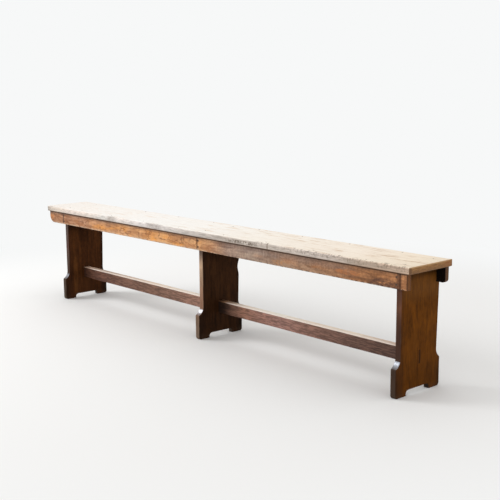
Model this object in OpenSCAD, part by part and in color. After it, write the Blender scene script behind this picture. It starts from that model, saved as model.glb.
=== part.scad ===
// Refectory bench: one plank seat on three cut-out board legs.
// Two long aprons are let into the top corners of the legs, under the seat.
// Two stretchers run between the legs, tenoned through the outer legs and
// stub tenoned into the centre leg.
// X runs along the seat, Y from front to back, Z up. The origin is on the
// floor, midway along the seat and midway between the front and back feet.

/* [Seat] */
// Length of the seat board
seat_l = 2290; // [1800:10:2700]
// Depth of the seat board, front to back
seat_d = 232; // [190:1:300]
// Thickness of the seat board
seat_t = 24.5; // [18:0.5:40]
// Height of the seat above the floor
seat_h = 455; // [400:5:520]
// How far the middle of the seat lies behind the middle of the legs
seat_y = 2.5; // [-5:0.5:5]
// Radius worn on the two top edges of the seat
seat_top_r = 6; // [2:0.5:8]
// Radius eased on the two bottom edges of the seat
seat_low_r = 2.5; // [1:0.5:8]
// Radius of the four upright corners of the seat
seat_corner_r = 3; // [2:0.5:30]

/* [Aprons] */
// Height of each apron
apron_h = 57; // [40:1:90]
// Thickness of the front apron
front_apron_t = 22; // [16:0.5:35]
// Thickness of the back apron
back_apron_t = 19; // [16:0.5:35]
// How far the face of each apron stands back from the edge of the seat
apron_setback = 9; // [2:0.5:25]
// Gap from the left end of the seat to the ends of both aprons
left_end_gap = 8; // [1:0.5:25]
// Gap from the right end of the seat to the square end of the front apron
front_end_gap = 15.5; // [1:0.5:30]
// Gap from the right end of the seat to the end of the back apron
back_end_gap = 7; // [1:0.5:30]
// Radius of the lower left corner of the front apron
front_corner_r = 33; // [10:1:38]
// Radius of the lower corners of the back apron
back_corner_r = 13; // [6:1:38]
// Bevel along the lower outside edge of an apron
apron_bevel = 2.5; // [0.5:0.5:6]
// Width of the scribed line beside each leg
line_w = 2; // [1:0.5:5]
// Depth of the scribed line beside each leg
line_d = 1.5; // [0.5:0.5:4]

/* [Legs] */
// Thickness of each leg board
leg_t = 23; // [18:0.5:40]
// Gap from the left end of the seat to the left leg
left_overhang = 133.5; // [60:0.5:300]
// Gap from the right end of the seat to the right leg
right_overhang = 43.5; // [35:0.5:300]
// How far the centre leg stands to the right of the middle of the seat
centre_shift = 49; // [-200:1:200]
// How deep the front apron is let into the corner of a leg
front_housing = 11.5; // [6:0.5:15.5]
// How deep the back apron is let into the corner of a leg
back_housing = 18.5; // [6:0.5:18.5]
// How much the front edge of a leg leans out from the top to the waist
front_lean = 0.5; // [0:0.5:12]
// How much the back edge of a leg draws in from the top to the waist
back_taper = 9; // [0:0.5:12]
// How far the front foot stands out past the waist
front_step = 24.5; // [10:0.5:28]
// How far the back foot stands out past the waist
back_step = 19; // [10:0.5:28]
// Height of the top of the cove above the floor
cove_z = 138; // [80:1:200]
// Radius of the cove between waist and foot
cove_r = 38; // [14:0.5:44]
// Radius of the nose at the top of the foot
nose_r = 8; // [2:0.5:9]
// Radius of the outside corner of each sole
sole_r = 11; // [3:0.5:20]
// Height of the arch between the soles
arch_h = 19.5; // [8:0.5:30]
// Width of the arch at the floor
arch_floor_w = 125; // [100:1:150]
// Radius of the upper corners of the arch, as a share of its height
arch_round_share = 0.7; // [0.1:0.02:0.9]

/* [Stretchers] */
// Height of each stretcher
stretcher_h = 52; // [35:1:80]
// Thickness of each stretcher
stretcher_t = 28; // [22:0.5:45]
// Height of the underside of the stretchers above the floor
stretcher_z = 99.5; // [60:0.5:200]
// How far the stretchers sit behind the middle of the legs
stretcher_y = 2; // [-20:0.5:20]
// Height of the bevel that feet wore on the front top edge
worn_h = 3.5; // [1:0.5:12]
// Depth of that bevel across the top
worn_d = 8; // [2:0.5:18]
// Thickness of the tenons
tenon_t = 12; // [7:0.5:16]
// Shoulder above and below each tenon
tenon_shoulder = 2; // [1:0.5:8]
// Thickness of a wedge at its driven end
wedge_t = 3.5; // [2:0.5:5]
// Thickness of a wedge at its tip
wedge_tip_t = 1.5; // [0.5:0.5:2]

/* [Nails] */
// Width of a cut nail, along the grain
nail_w = 4; // [2.5:0.5:6]
// Thickness of a cut nail, across the grain
nail_t = 3; // [2:0.5:5]
// Length of a cut nail under its head
nail_l = 46; // [32:1:50]
// Length of a nail head
head_l = 7.5; // [6.5:0.5:12]
// Width of a nail head
head_w = 5.5; // [5:0.5:10]
// Thickness of a nail head
head_t = 1.8; // [1:0.2:4]
// How deep a nail head is punched under the wood
nail_sink = 0.6; // [0:0.2:2]
// How far the nails in a leg stand to each side of its middle, to miss each other
nail_stagger = 5; // [4:0.5:5.5]

/* [Fits] */
// Clearance round each tenon, wedge and nail
fit_gap = 0.15; // [0.05:0.05:0.3]

/* [Hidden] */
$fn = 64;

// Every cut runs past the faces that it opens by this much.
overrun = 5;

// The cove cuts this deep into the nose, so that the two meet in a faint arris.
nose_nip = 0.1;

// Places of the seat nails along the two bays between the legs, and of the two
// nails over each leg, as shares of the bay and of the way out to the aprons.
bay_nail_shares = [0.14, 0.38, 0.62, 0.86];
leg_nail_share = 0.87;
// Heights of the apron nails at each leg, as shares of the apron height.
apron_nail_shares = [0.27, 0.73];

// Places of the legs and their faces along the seat.
left_leg_x = -seat_l / 2 + left_overhang + leg_t / 2;
centre_leg_x = centre_shift;
right_leg_x = seat_l / 2 - right_overhang - leg_t / 2;
leg_places = [left_leg_x, centre_leg_x, right_leg_x];
// The scribed line follows this face of each leg.
line_places = [left_leg_x - leg_t / 2, centre_leg_x - leg_t / 2, right_leg_x + leg_t / 2];

// Heights.
seat_under_z = seat_h - seat_t;
apron_z = seat_under_z - apron_h;

// Distances from the middle of the bench to its front and to its back. side is
// -1 for the front and 1 for the back.
function apron_out_y(side) = seat_d / 2 + side * seat_y - apron_setback;
function apron_in_y(side) = apron_out_y(side) - (side < 0 ? front_apron_t : back_apron_t);
function leg_top_y(side) = apron_in_y(side) + (side < 0 ? front_housing : back_housing);
function waist_y(side) = leg_top_y(side) + (side < 0 ? front_lean : -back_taper);
function foot_y(side) = waist_y(side) + (side < 0 ? front_step : back_step);

// Tenons and the wedges beside them.
tenon_h = stretcher_h - 2 * tenon_shoulder;
tenon_z = stretcher_z + tenon_shoulder;
stub_l = leg_t / 2 - fit_gap;
wedge_y = stretcher_y + tenon_t / 2 + fit_gap;
wedge_slope = (wedge_t - wedge_tip_t) / leg_t;

// Places of the nails.
function nail_leg_y(side) = leg_nail_share * apron_in_y(side);
function apron_mid_y(side) = (apron_in_y(side) + apron_out_y(side)) / 2;
function bay_nail_places(from_x, to_x) = [for (s = bay_nail_shares) from_x + s * (to_x - from_x)];
bay_nails = concat(bay_nail_places(left_leg_x, centre_leg_x), bay_nail_places(centre_leg_x, right_leg_x));

// A rectangle that stands on Y, with round lower and round upper corners.
module eased_section(width, height, low_r, top_r) {
    translate([-width / 2, low_r])
        square([width, height - low_r - top_r]);
    translate([-width / 2 + low_r, 0])
        square([width - 2 * low_r, height / 2]);
    translate([-width / 2 + top_r, height / 2])
        square([width - 2 * top_r, height / 2]);
    for (side = [-1, 1]) {
        translate([side * (width / 2 - low_r), low_r])
            circle(r = low_r);
        translate([side * (width / 2 - top_r), height - top_r])
            circle(r = top_r);
    }
}

// A cut nail that points down, with the top of its head at the origin.
module nail(gap = 0) {
    translate([0, 0, -head_t / 2])
        cube([head_l + 2 * gap, head_w + 2 * gap, head_t], center = true);
    translate([0, 0, -head_t - nail_l / 2])
        cube([nail_w + 2 * gap, nail_t + 2 * gap, nail_l + 2 * gap], center = true);
}

// The hole for a nail, open above its head.
module nail_hole() {
    nail(fit_gap);
    translate([0, 0, overrun / 2])
        cube([head_l + 2 * fit_gap, head_w + 2 * fit_gap, overrun], center = true);
}

// Puts a nail or its hole at each place over the legs and the aprons.
module at_seat_nails() {
    for (x = leg_places, side = [-1, 1])
        translate([x + nail_stagger, side * nail_leg_y(side), seat_h - nail_sink])
            children();
    for (x = bay_nails, side = [-1, 1])
        translate([x, side * apron_mid_y(side), seat_h - nail_sink])
            children();
}

// Puts a nail or its hole at each place on one apron face. side is -1 for the
// front and 1 for the back.
module at_apron_nails(side) {
    for (x = leg_places, share = apron_nail_shares)
        translate([x - nail_stagger, side * (apron_out_y(side) - nail_sink), apron_z + share * apron_h])
            rotate([-side * 90, 0, 0])
                children();
}

module seat_board() {
    color("#d9c3a0")
        difference() {
            intersection() {
                translate([-seat_l / 2, seat_y, seat_under_z])
                    rotate([90, 0, 90])
                        linear_extrude(seat_l)
                            eased_section(seat_d, seat_t, seat_low_r, seat_top_r);
                translate([0, seat_y - seat_d / 2, seat_under_z - overrun])
                    linear_extrude(seat_t + 2 * overrun)
                        eased_section(seat_l, seat_d, seat_corner_r, seat_corner_r);
            }
            at_seat_nails() nail_hole();
        }
}

// What is cut off to round the lower corner of a board that starts at the origin.
module corner_cut(r) {
    difference() {
        translate([-overrun, -overrun])
            square([r + overrun, r + overrun]);
        translate([r, r])
            circle(r = r);
    }
}

// One apron as a board between in_y and out_y and from left_x to right_x, with
// its face towards -Y and a round lower corner at each end that is given a radius.
module apron_board(in_y, out_y, left_x, right_x, left_r, right_r) {
    difference() {
        translate([0, -in_y, apron_z])
            rotate([90, 0, 0])
                linear_extrude(out_y - in_y)
                    difference() {
                        translate([left_x, 0])
                            square([right_x - left_x, apron_h]);
                        if (left_r > 0)
                            translate([left_x, 0]) corner_cut(left_r);
                        if (right_r > 0)
                            translate([right_x, 0]) mirror([1, 0]) corner_cut(right_r);
                    }
        translate([left_x - overrun, -out_y, apron_z])
            rotate([90, 0, 90])
                linear_extrude(right_x - left_x + 2 * overrun)
                    polygon([[-overrun, -overrun], [apron_bevel + overrun, -overrun],
                             [-overrun, apron_bevel + overrun]]);
        for (x = line_places)
            translate([x - line_w / 2, -out_y - overrun, apron_z - overrun])
                cube([line_w, line_d + overrun, apron_h + 2 * overrun]);
    }
}

module front_apron() {
    color("#8a4a24")
        difference() {
            apron_board(apron_in_y(-1), apron_out_y(-1), -seat_l / 2 + left_end_gap,
                        seat_l / 2 - front_end_gap, front_corner_r, 0);
            at_apron_nails(-1) nail_hole();
            at_seat_nails() nail_hole();
        }
}

module back_apron() {
    color("#6b3d22")
        difference() {
            mirror([0, 1, 0])
                apron_board(apron_in_y(1), apron_out_y(1), -seat_l / 2 + left_end_gap,
                            seat_l / 2 - back_end_gap, back_corner_r, back_corner_r);
            at_apron_nails(1) nail_hole();
            at_seat_nails() nail_hole();
        }
}

// The cut between the two soles of a leg, as an outline across the bench.
module arch_outline() {
    arch_r = arch_round_share * arch_h;
    translate([-arch_floor_w / 2, -overrun])
        square([arch_floor_w, arch_h - arch_r + overrun]);
    translate([arch_r - arch_floor_w / 2, 0])
        square([arch_floor_w - 2 * arch_r, arch_h]);
    for (side = [-1, 1])
        translate([side * (arch_floor_w / 2 - arch_r), arch_h - arch_r])
            circle(r = arch_r);
}

// Half of a leg's outline, drawn towards +Y, before the arch is cut. The nose is
// a circle that touches the side of the foot and is nipped by the cove.
module leg_half_outline(notch_y, top_y, waist, foot) {
    nose_y = foot - nose_r;
    cove_y = waist + cove_r;
    apart = cove_r + nose_r - nose_nip;
    nose_z = cove_z - sqrt(pow(apart, 2) - pow(cove_y - nose_y, 2));
    nip_share = (nose_r - nose_nip / 2) / apart;
    nip_y = nose_y + nip_share * (cove_y - nose_y);
    nip_z = nose_z + nip_share * (cove_z - nose_z);
    difference() {
        union() {
            polygon([[0, cove_z], [waist, cove_z], [top_y, seat_under_z], [0, seat_under_z]]);
            polygon([[0, nose_z], [nose_y, nose_z], [nip_y, nip_z], [waist, cove_z], [0, cove_z]]);
            translate([nose_y, nose_z])
                circle(r = nose_r);
            translate([0, sole_r])
                square([foot, nose_z - sole_r]);
            square([foot - sole_r, sole_r]);
            translate([foot - sole_r, sole_r])
                circle(r = sole_r);
        }
        translate([cove_y, cove_z])
            circle(r = cove_r);
        translate([notch_y, apron_z])
            square([foot + overrun, apron_h + overrun]);
    }
}

// One leg board at its place, with the notches for the aprons and the holes
// for the nails, but with no mortise.
module leg_board(x) {
    difference() {
        translate([x - leg_t / 2, 0, 0])
            rotate([90, 0, 90])
                linear_extrude(leg_t)
                    difference() {
                        for (side = [-1, 1])
                            mirror([side < 0 ? 1 : 0, 0])
                                leg_half_outline(apron_in_y(side), leg_top_y(side),
                                                 waist_y(side), foot_y(side));
                        arch_outline();
                    }
        at_seat_nails() nail_hole();
        for (side = [-1, 1])
            at_apron_nails(side) nail_hole();
    }
}

// The mortise through a leg, as deep as the leg is thick.
module mortise(x) {
    translate([x - leg_t / 2 - overrun, stretcher_y - tenon_t / 2 - fit_gap, tenon_z - fit_gap])
        cube([leg_t + 2 * overrun, tenon_t + 2 * fit_gap, tenon_h + 2 * fit_gap]);
}

// A wedge, or the slot for it, that fills the space behind a tenon and is
// thickest on the outer face of the leg. x is the middle of the leg, and side is
// 1 where the outer face looks to +X. past is how far it runs past both faces.
module wedge(x, side, gap, past) {
    translate([x, wedge_y, tenon_z - gap])
        mirror([side > 0 ? 0 : 1, 0, 0])
            translate([-leg_t / 2, 0, 0])
                linear_extrude(tenon_h + 2 * gap)
                    polygon([[-past, -gap], [leg_t + past, -gap],
                             [leg_t + past, wedge_t + wedge_slope * past + gap],
                             [-past, wedge_tip_t - wedge_slope * past + gap]]);
}

module left_leg() {
    color("#4a2a1a")
        difference() {
            leg_board(left_leg_x);
            mortise(left_leg_x);
            wedge(left_leg_x, -1, fit_gap, overrun);
        }
}

module centre_leg() {
    color("#4a2a1a")
        difference() {
            leg_board(centre_leg_x);
            mortise(centre_leg_x);
        }
}

module right_leg() {
    color("#5c3520")
        difference() {
            leg_board(right_leg_x);
            mortise(right_leg_x);
            wedge(right_leg_x, 1, fit_gap, overrun);
        }
}

// A stretcher between two leg faces, with a tenon at each end.
module stretcher(from_x, to_x, left_tenon_l, right_tenon_l) {
    translate([from_x, stretcher_y, stretcher_z])
        rotate([90, 0, 90])
            linear_extrude(to_x - from_x)
                polygon([[-stretcher_t / 2, 0], [stretcher_t / 2, 0], [stretcher_t / 2, stretcher_h],
                         [-stretcher_t / 2 + worn_d, stretcher_h], [-stretcher_t / 2, stretcher_h - worn_h]]);
    translate([from_x - left_tenon_l, stretcher_y - tenon_t / 2, tenon_z])
        cube([to_x - from_x + left_tenon_l + right_tenon_l, tenon_t, tenon_h]);
}

module left_stretcher() {
    color("#8c5a44")
        stretcher(left_leg_x + leg_t / 2, centre_leg_x - leg_t / 2, leg_t, stub_l);
}

module right_stretcher() {
    color("#7d4634")
        stretcher(centre_leg_x + leg_t / 2, right_leg_x - leg_t / 2, stub_l, leg_t);
}

module tenon_wedges() {
    color("#2e1b12") {
        wedge(left_leg_x, -1, 0, 0);
        wedge(right_leg_x, 1, 0, 0);
    }
}

module seat_nails() {
    color("#3a3532")
        at_seat_nails() nail();
}

module front_apron_nails() {
    color("#3a3532")
        at_apron_nails(-1) nail();
}

module back_apron_nails() {
    color("#3a3532")
        at_apron_nails(1) nail();
}

seat_board();
front_apron();
back_apron();
left_leg();
centre_leg();
right_leg();
left_stretcher();
right_stretcher();
tenon_wedges();
seat_nails();
front_apron_nails();
back_apron_nails();
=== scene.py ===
# %% [markdown]
# # Refectory bench
#
# A long plank seat stands on three cut-out boards. Two aprons under the seat and
# two stretchers near the floor tie the boards together. The frame gives every
# piece its exact place and size. This lesson shapes each board again with the
# wear of long use, and gives each one the finish of its own old timber.

# %% Load the frame
import math

import bmesh
import bpy
from mathutils import Matrix, Vector, kdtree, noise
from mathutils.geometry import delaunay_2d_cdt


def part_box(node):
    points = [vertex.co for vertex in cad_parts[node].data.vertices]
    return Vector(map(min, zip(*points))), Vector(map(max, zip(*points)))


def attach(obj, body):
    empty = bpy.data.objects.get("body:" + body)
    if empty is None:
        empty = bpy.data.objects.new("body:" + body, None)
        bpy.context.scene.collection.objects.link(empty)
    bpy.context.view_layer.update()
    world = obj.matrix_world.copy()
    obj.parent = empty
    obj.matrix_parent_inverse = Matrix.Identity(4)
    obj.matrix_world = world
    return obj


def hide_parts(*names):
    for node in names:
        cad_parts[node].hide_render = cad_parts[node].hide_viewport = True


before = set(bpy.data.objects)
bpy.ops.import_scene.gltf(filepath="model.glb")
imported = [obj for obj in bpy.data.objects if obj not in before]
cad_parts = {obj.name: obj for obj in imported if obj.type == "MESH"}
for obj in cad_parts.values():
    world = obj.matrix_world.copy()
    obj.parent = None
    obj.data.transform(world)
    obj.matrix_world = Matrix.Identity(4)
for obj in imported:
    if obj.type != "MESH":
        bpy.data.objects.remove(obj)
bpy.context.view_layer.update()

MM = 0.001
print("nodes of the frame:", sorted(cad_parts))


def box_mm(node):
    """Lowest and highest corner of a node of the frame, in millimetres."""
    low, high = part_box(node)
    return low / MM, high / MM


# %% [markdown]
# ## Camera
#
# The lens and the place were solved from the edges of the seat, the legs and the
# stretchers, so the picture has the same perspective as the photograph. The camera
# stands to the right of the bench, a little over a metre above the floor. Its
# three axes are worked out from its turn, its tilt and its small roll.

# %% Camera
IMAGE_PIXELS = 500
FOCAL_PIXELS = 941.1
SENSOR_MM = 36.0
CAMERA_PLACE = Vector((3.0232, -2.4874, 1.0394))
CAMERA_TURN = math.radians(48.13)
CAMERA_TILT = math.radians(9.91)
CAMERA_ROLL = math.radians(0.46)

ahead = Vector((
    -math.sin(CAMERA_TURN) * math.cos(CAMERA_TILT),
    math.cos(CAMERA_TURN) * math.cos(CAMERA_TILT),
    -math.sin(CAMERA_TILT),
))
level_right = Vector((math.cos(CAMERA_TURN), math.sin(CAMERA_TURN), 0))
level_down = ahead.cross(level_right)
camera_right = math.cos(CAMERA_ROLL) * level_right + math.sin(CAMERA_ROLL) * level_down
camera_down = math.cos(CAMERA_ROLL) * level_down - math.sin(CAMERA_ROLL) * level_right

camera_data = bpy.data.cameras.new("camera")
camera_data.sensor_width = SENSOR_MM
camera_data.lens = SENSOR_MM * FOCAL_PIXELS / IMAGE_PIXELS
camera = bpy.data.objects.new("camera", camera_data)
axes = Matrix((camera_right, -camera_down, -ahead)).transposed().to_4x4()
camera.matrix_world = Matrix.Translation(CAMERA_PLACE) @ axes
bpy.context.scene.collection.objects.link(camera)
bpy.context.scene.camera = camera
print("lens of", round(camera_data.lens, 2), "mm at", tuple(round(v, 3) for v in CAMERA_PLACE))

# %% [markdown]
# ## Helpers for node materials
#
# A finish on old wood is a sum of many small things: rings, fibres, pores, dirt and
# wear. A small class keeps the nodes of one material together, so that each of
# these can be written as one call. Colours are written as they look on a screen,
# from 0 to 255, and places are in metres, because that is what the nodes read.


# %% A finish and its nodes
# The sockets of the Mix node that take and give colours.
MIX_AMOUNT = 0
MIX_FIRST = 6
MIX_SECOND = 7
MIX_RESULT = 2
# The rings wander by noises that are taken this far apart.
AXIS_SHIFT = 7.3


def tone(red, green, blue):
    """A screen colour from 0 to 255 as the linear colour that nodes use."""
    shares = [value / 255 for value in (red, green, blue)]
    return (*[s / 12.92 if s <= 0.04045 else ((s + 0.055) / 1.055) ** 2.4 for s in shares], 1)


def add_node(tree, kind, inputs=None, **settings):
    """A node with its settings made and its inputs linked or filled."""
    node = tree.nodes.new("ShaderNode" + kind)
    for key, value in settings.items():
        setattr(node, key, value)
    for key, value in (inputs or {}).items():
        if isinstance(value, bpy.types.NodeSocket):
            tree.links.new(value, node.inputs[key])
        else:
            node.inputs[key].default_value = value
    return node


class Finish:
    """One node material, with its nodes written as calls."""

    def __init__(self, name):
        self.material = bpy.data.materials.new(name)
        self.material.use_nodes = True
        self.tree = self.material.node_tree
        self.tree.nodes.clear()
        self.place = self.add("TexCoord").outputs["Object"]
        parts = self.add("SeparateXYZ", {0: self.place}).outputs
        self.x = parts[0]
        self.y = parts[1]
        self.z = parts[2]

    def add(self, kind, inputs=None, **settings):
        """A node of this material."""
        return add_node(self.tree, kind, inputs, **settings)

    def calc(self, operation, *values):
        """A sum of one value, or of more of them one after another."""
        result = values[0]
        for value in values[1:] or (0.0,):
            result = self.add("Math", {0: result, 1: value}, operation=operation).outputs[0]
        return result

    def product(self, *values):
        """All the values multiplied."""
        return self.calc("MULTIPLY", *values) if len(values) > 1 else values[0]

    def total(self, *values):
        """All the values added."""
        return self.calc("ADD", *values)

    def largest(self, *values):
        """The largest of the values."""
        return self.calc("MAXIMUM", *values)

    def apart(self, axis, middle=0.0):
        """How far a place is from a middle, on either side of it."""
        return self.calc("ABSOLUTE", self.calc("SUBTRACT", axis, middle))

    def sway(self, noise, width):
        """A noise from 0 to 1 as a shift to either side, of half the width at most."""
        return self.product(self.calc("SUBTRACT", noise, 0.5), width)

    def ease(self, value, low, high, most=1.0):
        """0 below low, most above high, and smooth between; low may be the larger one."""
        inputs = {"Value": value, "From Min": low, "From Max": high, "To Max": most}
        return self.add("MapRange", inputs, interpolation_type="SMOOTHSTEP").outputs["Result"]

    def blend(self, amount, first, second):
        """The first colour with an amount of the second over it."""
        inputs = {MIX_AMOUNT: amount, MIX_FIRST: first, MIX_SECOND: second}
        return self.add("Mix", inputs, data_type="RGBA").outputs[MIX_RESULT]

    def over(self, colour, top, *shares):
        """A colour with a tone over it, by all the shares multiplied."""
        return self.blend(self.product(*shares), colour, tone(*top))

    def ramp(self, value, stops):
        """A colour that runs through the stops, each a place from 0 to 1 and its tone."""
        node = self.add("ValToRGB", {"Fac": value})
        bar = node.color_ramp.elements
        while len(bar) < len(stops):
            bar.new(0.5)
        for element, (place, *colour) in zip(bar, stops):
            element.position = place
            element.color = tone(*colour)
        return node.outputs["Color"]

    def scaled(self, colour, factor):
        """A colour made darker or lighter by a factor, with its hue kept."""
        return self.add("VectorMath", {0: colour, "Scale": factor}, operation="SCALE").outputs[0]

    def mottle(self, scales, detail, shift, roughness=0.5, twist=0.0):
        """Noise from 0 to 1 with so many lumps to the metre along X, Y and Z. Another shift
        gives other lumps, and a twist curls them."""
        scaled = self.add("VectorMath", {0: self.place, 1: scales}, operation="MULTIPLY").outputs[0]
        moved = self.add("VectorMath", {0: scaled, 1: (shift, shift, shift)}, operation="ADD").outputs[0]
        inputs = {"Vector": moved, "Scale": 1.0, "Detail": detail}
        inputs |= {"Roughness": roughness, "Distortion": twist}
        return self.add("TexNoise", inputs).outputs[0]

    def wear(self, name):
        """A share from 0 to 1 that the mesh carries at each of its points."""
        return self.add("Attribute", attribute_name=name).outputs["Fac"]

    def spot(self, axes, centre, reach):
        """1 at a centre, falling to 0 at an oval's edge, on two of the axes."""
        squares = []
        for axis, middle, half in zip(axes, centre, reach):
            away = self.calc("DIVIDE", self.calc("SUBTRACT", axis, middle), half)
            squares.append(self.calc("MULTIPLY", away, away))
        return self.ease(self.total(*squares), 1.0, 0.35)

    def rings(self, across, pith, ring, drift, scales, shift):
        """Growth rings round a pith line: 0 in early wood, up to 1 in late wood.
        The log wanders by drift metres, at so many bends to the metre."""
        squares = []
        for number, (axis, middle) in enumerate(zip(across, pith)):
            bend = self.sway(self.mottle(scales, 1.0, shift + AXIS_SHIFT * number), drift)
            away = self.total(axis, -middle, bend)
            squares.append(self.calc("MULTIPLY", away, away))
        radius = self.calc("SQRT", self.total(*squares))
        turn = self.calc("FRACT", self.calc("DIVIDE", radius, ring))
        return self.product(self.ease(turn, 0.15, 0.85), self.ease(turn, 1.0, 0.9))

    def surface(self, colour, roughness, height, depth, **sockets):
        """Joins colour, roughness and a height with a depth in metres to the output."""
        bump = self.add("Bump", {"Height": height, "Distance": depth, "Strength": 1.0}).outputs[0]
        inputs = {"Base Color": colour, "Roughness": roughness, "Normal": bump}
        shader = self.add("BsdfPrincipled", {**inputs, **sockets})
        self.add("OutputMaterial", {"Surface": shader.outputs[0]})
        return self.material


# %% [markdown]
# ## Light and floor
#
# The photograph has a large window at the front left, which throws a soft shadow
# back and to the right, and pale walls that fill the rest. One large soft lamp does
# the window's work, and the world does the walls'. The camera and the reflections
# see the world as a near white wall. The floor is a plain pale disc that fades into
# that white beyond the bench, for the camera only, so it still takes the shadow.

# %% Window light and pale room
WALL = tone(247, 248, 248)
ROOM_FILL = tone(248, 247, 246)
ROOM_STRENGTH = 0.93
WINDOW_WAY = Vector((-0.68, -0.53, 0.51)).normalized()
WINDOW_DISTANCE = 6.0
WINDOW_SIZE = 2.2
WINDOW_WATTS = 135.0

lamp_data = bpy.data.lights.new("window", "AREA")
lamp_data.shape = "SQUARE"
lamp_data.size = WINDOW_SIZE
lamp_data.energy = WINDOW_WATTS
lamp_data.color = (0.97, 0.985, 1.0)
lamp = bpy.data.objects.new("window", lamp_data)
lamp.location = WINDOW_WAY * WINDOW_DISTANCE
lamp.rotation_euler = WINDOW_WAY.to_track_quat("Z", "Y").to_euler()
bpy.context.scene.collection.objects.link(lamp)

world = bpy.data.worlds.new("room")
bpy.context.scene.world = world
world.use_nodes = True
world.node_tree.nodes.clear()


def world_node(kind, inputs):
    """A node of the world. It has no settings but its inputs."""
    return add_node(world.node_tree, kind, inputs)


rays = world_node("LightPath", {}).outputs
seen = world_node("Math", {0: rays["Is Camera Ray"], 1: rays["Is Glossy Ray"]}).outputs[0]
seen = world_node("Math", {0: seen, 1: rays["Is Transmission Ray"]}).outputs[0]
fill = world_node("Background", {"Color": ROOM_FILL, "Strength": ROOM_STRENGTH}).outputs[0]
wall = world_node("Background", {"Color": WALL, "Strength": 1.0}).outputs[0]
either = world_node("MixShader", {0: seen, 1: fill, 2: wall}).outputs[0]
world_node("OutputWorld", {"Surface": either})
bpy.context.scene.view_settings.view_transform = "Standard"
print("window lamp of", WINDOW_WATTS, "W at", tuple(round(v, 2) for v in lamp.location))

# %% Floor
FLOOR_COLOUR = tone(241, 241, 240)
FLOOR_RADIUS = 30.0
FADE_START = 1.25
FADE_END = 2.6

floor_mesh = bpy.data.meshes.new("floor")
floor_shape = bmesh.new()
bmesh.ops.create_circle(floor_shape, cap_ends=True, segments=96, radius=FLOOR_RADIUS)
floor_shape.to_mesh(floor_mesh)
floor_shape.free()
floor = bpy.data.objects.new("floor", floor_mesh)
bpy.context.scene.collection.objects.link(floor)

stone = Finish("pale_floor")
from_middle = stone.add("VectorMath", {0: stone.place}, operation="LENGTH").outputs["Value"]
far = stone.ease(from_middle, FADE_START, FADE_END)
camera_ray = stone.add("LightPath").outputs["Is Camera Ray"]
matt = stone.add("BsdfDiffuse", {"Color": FLOOR_COLOUR}).outputs[0]
white = stone.add("Emission", {"Color": WALL, "Strength": 1.0}).outputs[0]
faded = stone.add("MixShader", {0: stone.product(far, camera_ray), 1: matt, 2: white}).outputs[0]
stone.add("OutputMaterial", {"Surface": faded})
floor_mesh.materials.append(stone.material)
print("floor fades to white from", FADE_START, "to", FADE_END, "m from the middle")

# %% [markdown]
# ## Outlines
#
# Every piece of this bench was cut from a board: someone drew an outline, sawed
# round it and eased the edges. The pieces are made the same way here. An outline
# is a closed list of points that runs round the board with the wood on its left.
# Sharp corners are rounded a little, since no worn corner is truly sharp, and long
# edges are divided so that wear can bend them.


# %% Drawing outlines
# A turn above this is a corner. Rounding it takes at most this share of each side.
SHARP_TURN = math.radians(25)
CORNER_SHARE = 0.4
# Keeps the mitre of a very sharp corner short.
LEAST_FACING = 0.4
# How far a ring may move in open wood, and the least rise that counts as another side.
MOST_ROOM = 20.0
LEAST_RISE = 1e-5


def arc(centre, radius, start, end, steps):
    """Points of an arc from one angle to another, in degrees."""
    points = []
    for step in range(steps + 1):
        angle = math.radians(start + (end - start) * step / steps)
        way = Vector((math.cos(angle), math.sin(angle)))
        points.append(Vector(centre) + radius * way)
    return points


def neighbours(points):
    """Each point of a closed outline, between the one before and the one after."""
    return zip(points[-1:] + points[:-1], points, points[1:] + points[:1])


def eased(corners, radius, steps=3):
    """A closed outline with its sharp corners rounded."""
    points = [Vector(corner) for corner in corners]
    result = []
    for before, here, after in neighbours(points):
        back = before - here
        onward = after - here
        turn = math.pi - back.angle(onward)
        if turn < SHARP_TURN:
            result.append(here)
            continue
        shorter = min(back.length, onward.length)
        reach = min(radius * math.tan(turn / 2), CORNER_SHARE * shorter)
        start = here + reach * back.normalized()
        end = here + reach * onward.normalized()
        for step in range(steps + 1):
            t = step / steps
            result.append((1 - t) ** 2 * start + 2 * t * (1 - t) * here + t * t * end)
    return result


def divided(points, spacing):
    """A closed outline with its long edges divided; spacing is asked at each edge."""
    result = []
    for here, after in zip(points, points[1:] + points[:1]):
        pieces = max(1, math.ceil((after - here).length / spacing((here + after) / 2)))
        for step in range(pieces):
            result.append(here.lerp(after, step / pieces))
    return result


def drawn(corners, radius, spacing, steps=3):
    """A closed outline with rounded corners and with its edges divided evenly."""
    return divided(eased(corners, radius, steps), lambda spot: spacing)


def inward(points):
    """The way into the wood at each point, as long as a mitre needs."""
    ways = []
    for before, here, after in neighbours(points):
        first = (here - before).normalized()
        second = (after - here).normalized()
        left_of_first = Vector((-first.y, first.x))
        left_of_second = Vector((-second.y, second.x))
        facing = 1 + left_of_first.dot(left_of_second)
        ways.append((left_of_first + left_of_second) / max(facing, LEAST_FACING))
    return ways


def room(points, ways):
    """How far a ring may move into the wood from each point before it meets the ring from
    another side: the radius of the widest circle that touches the outline there."""
    near = kdtree.KDTree(len(points))
    for k, here in enumerate(points):
        near.insert(here.to_3d(), k)
    near.balance()
    rooms = []
    for here, way in zip(points, ways):
        into = way.normalized()
        free = MOST_ROOM
        for other, _, gap in near.find_range(here.to_3d(), 2 * MOST_ROOM):
            rise = (other.xy - here).dot(into)
            if rise > LEAST_RISE:
                free = min(free, gap * gap / (2 * rise))
        rooms.append(free / way.length)
    return rooms


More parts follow.
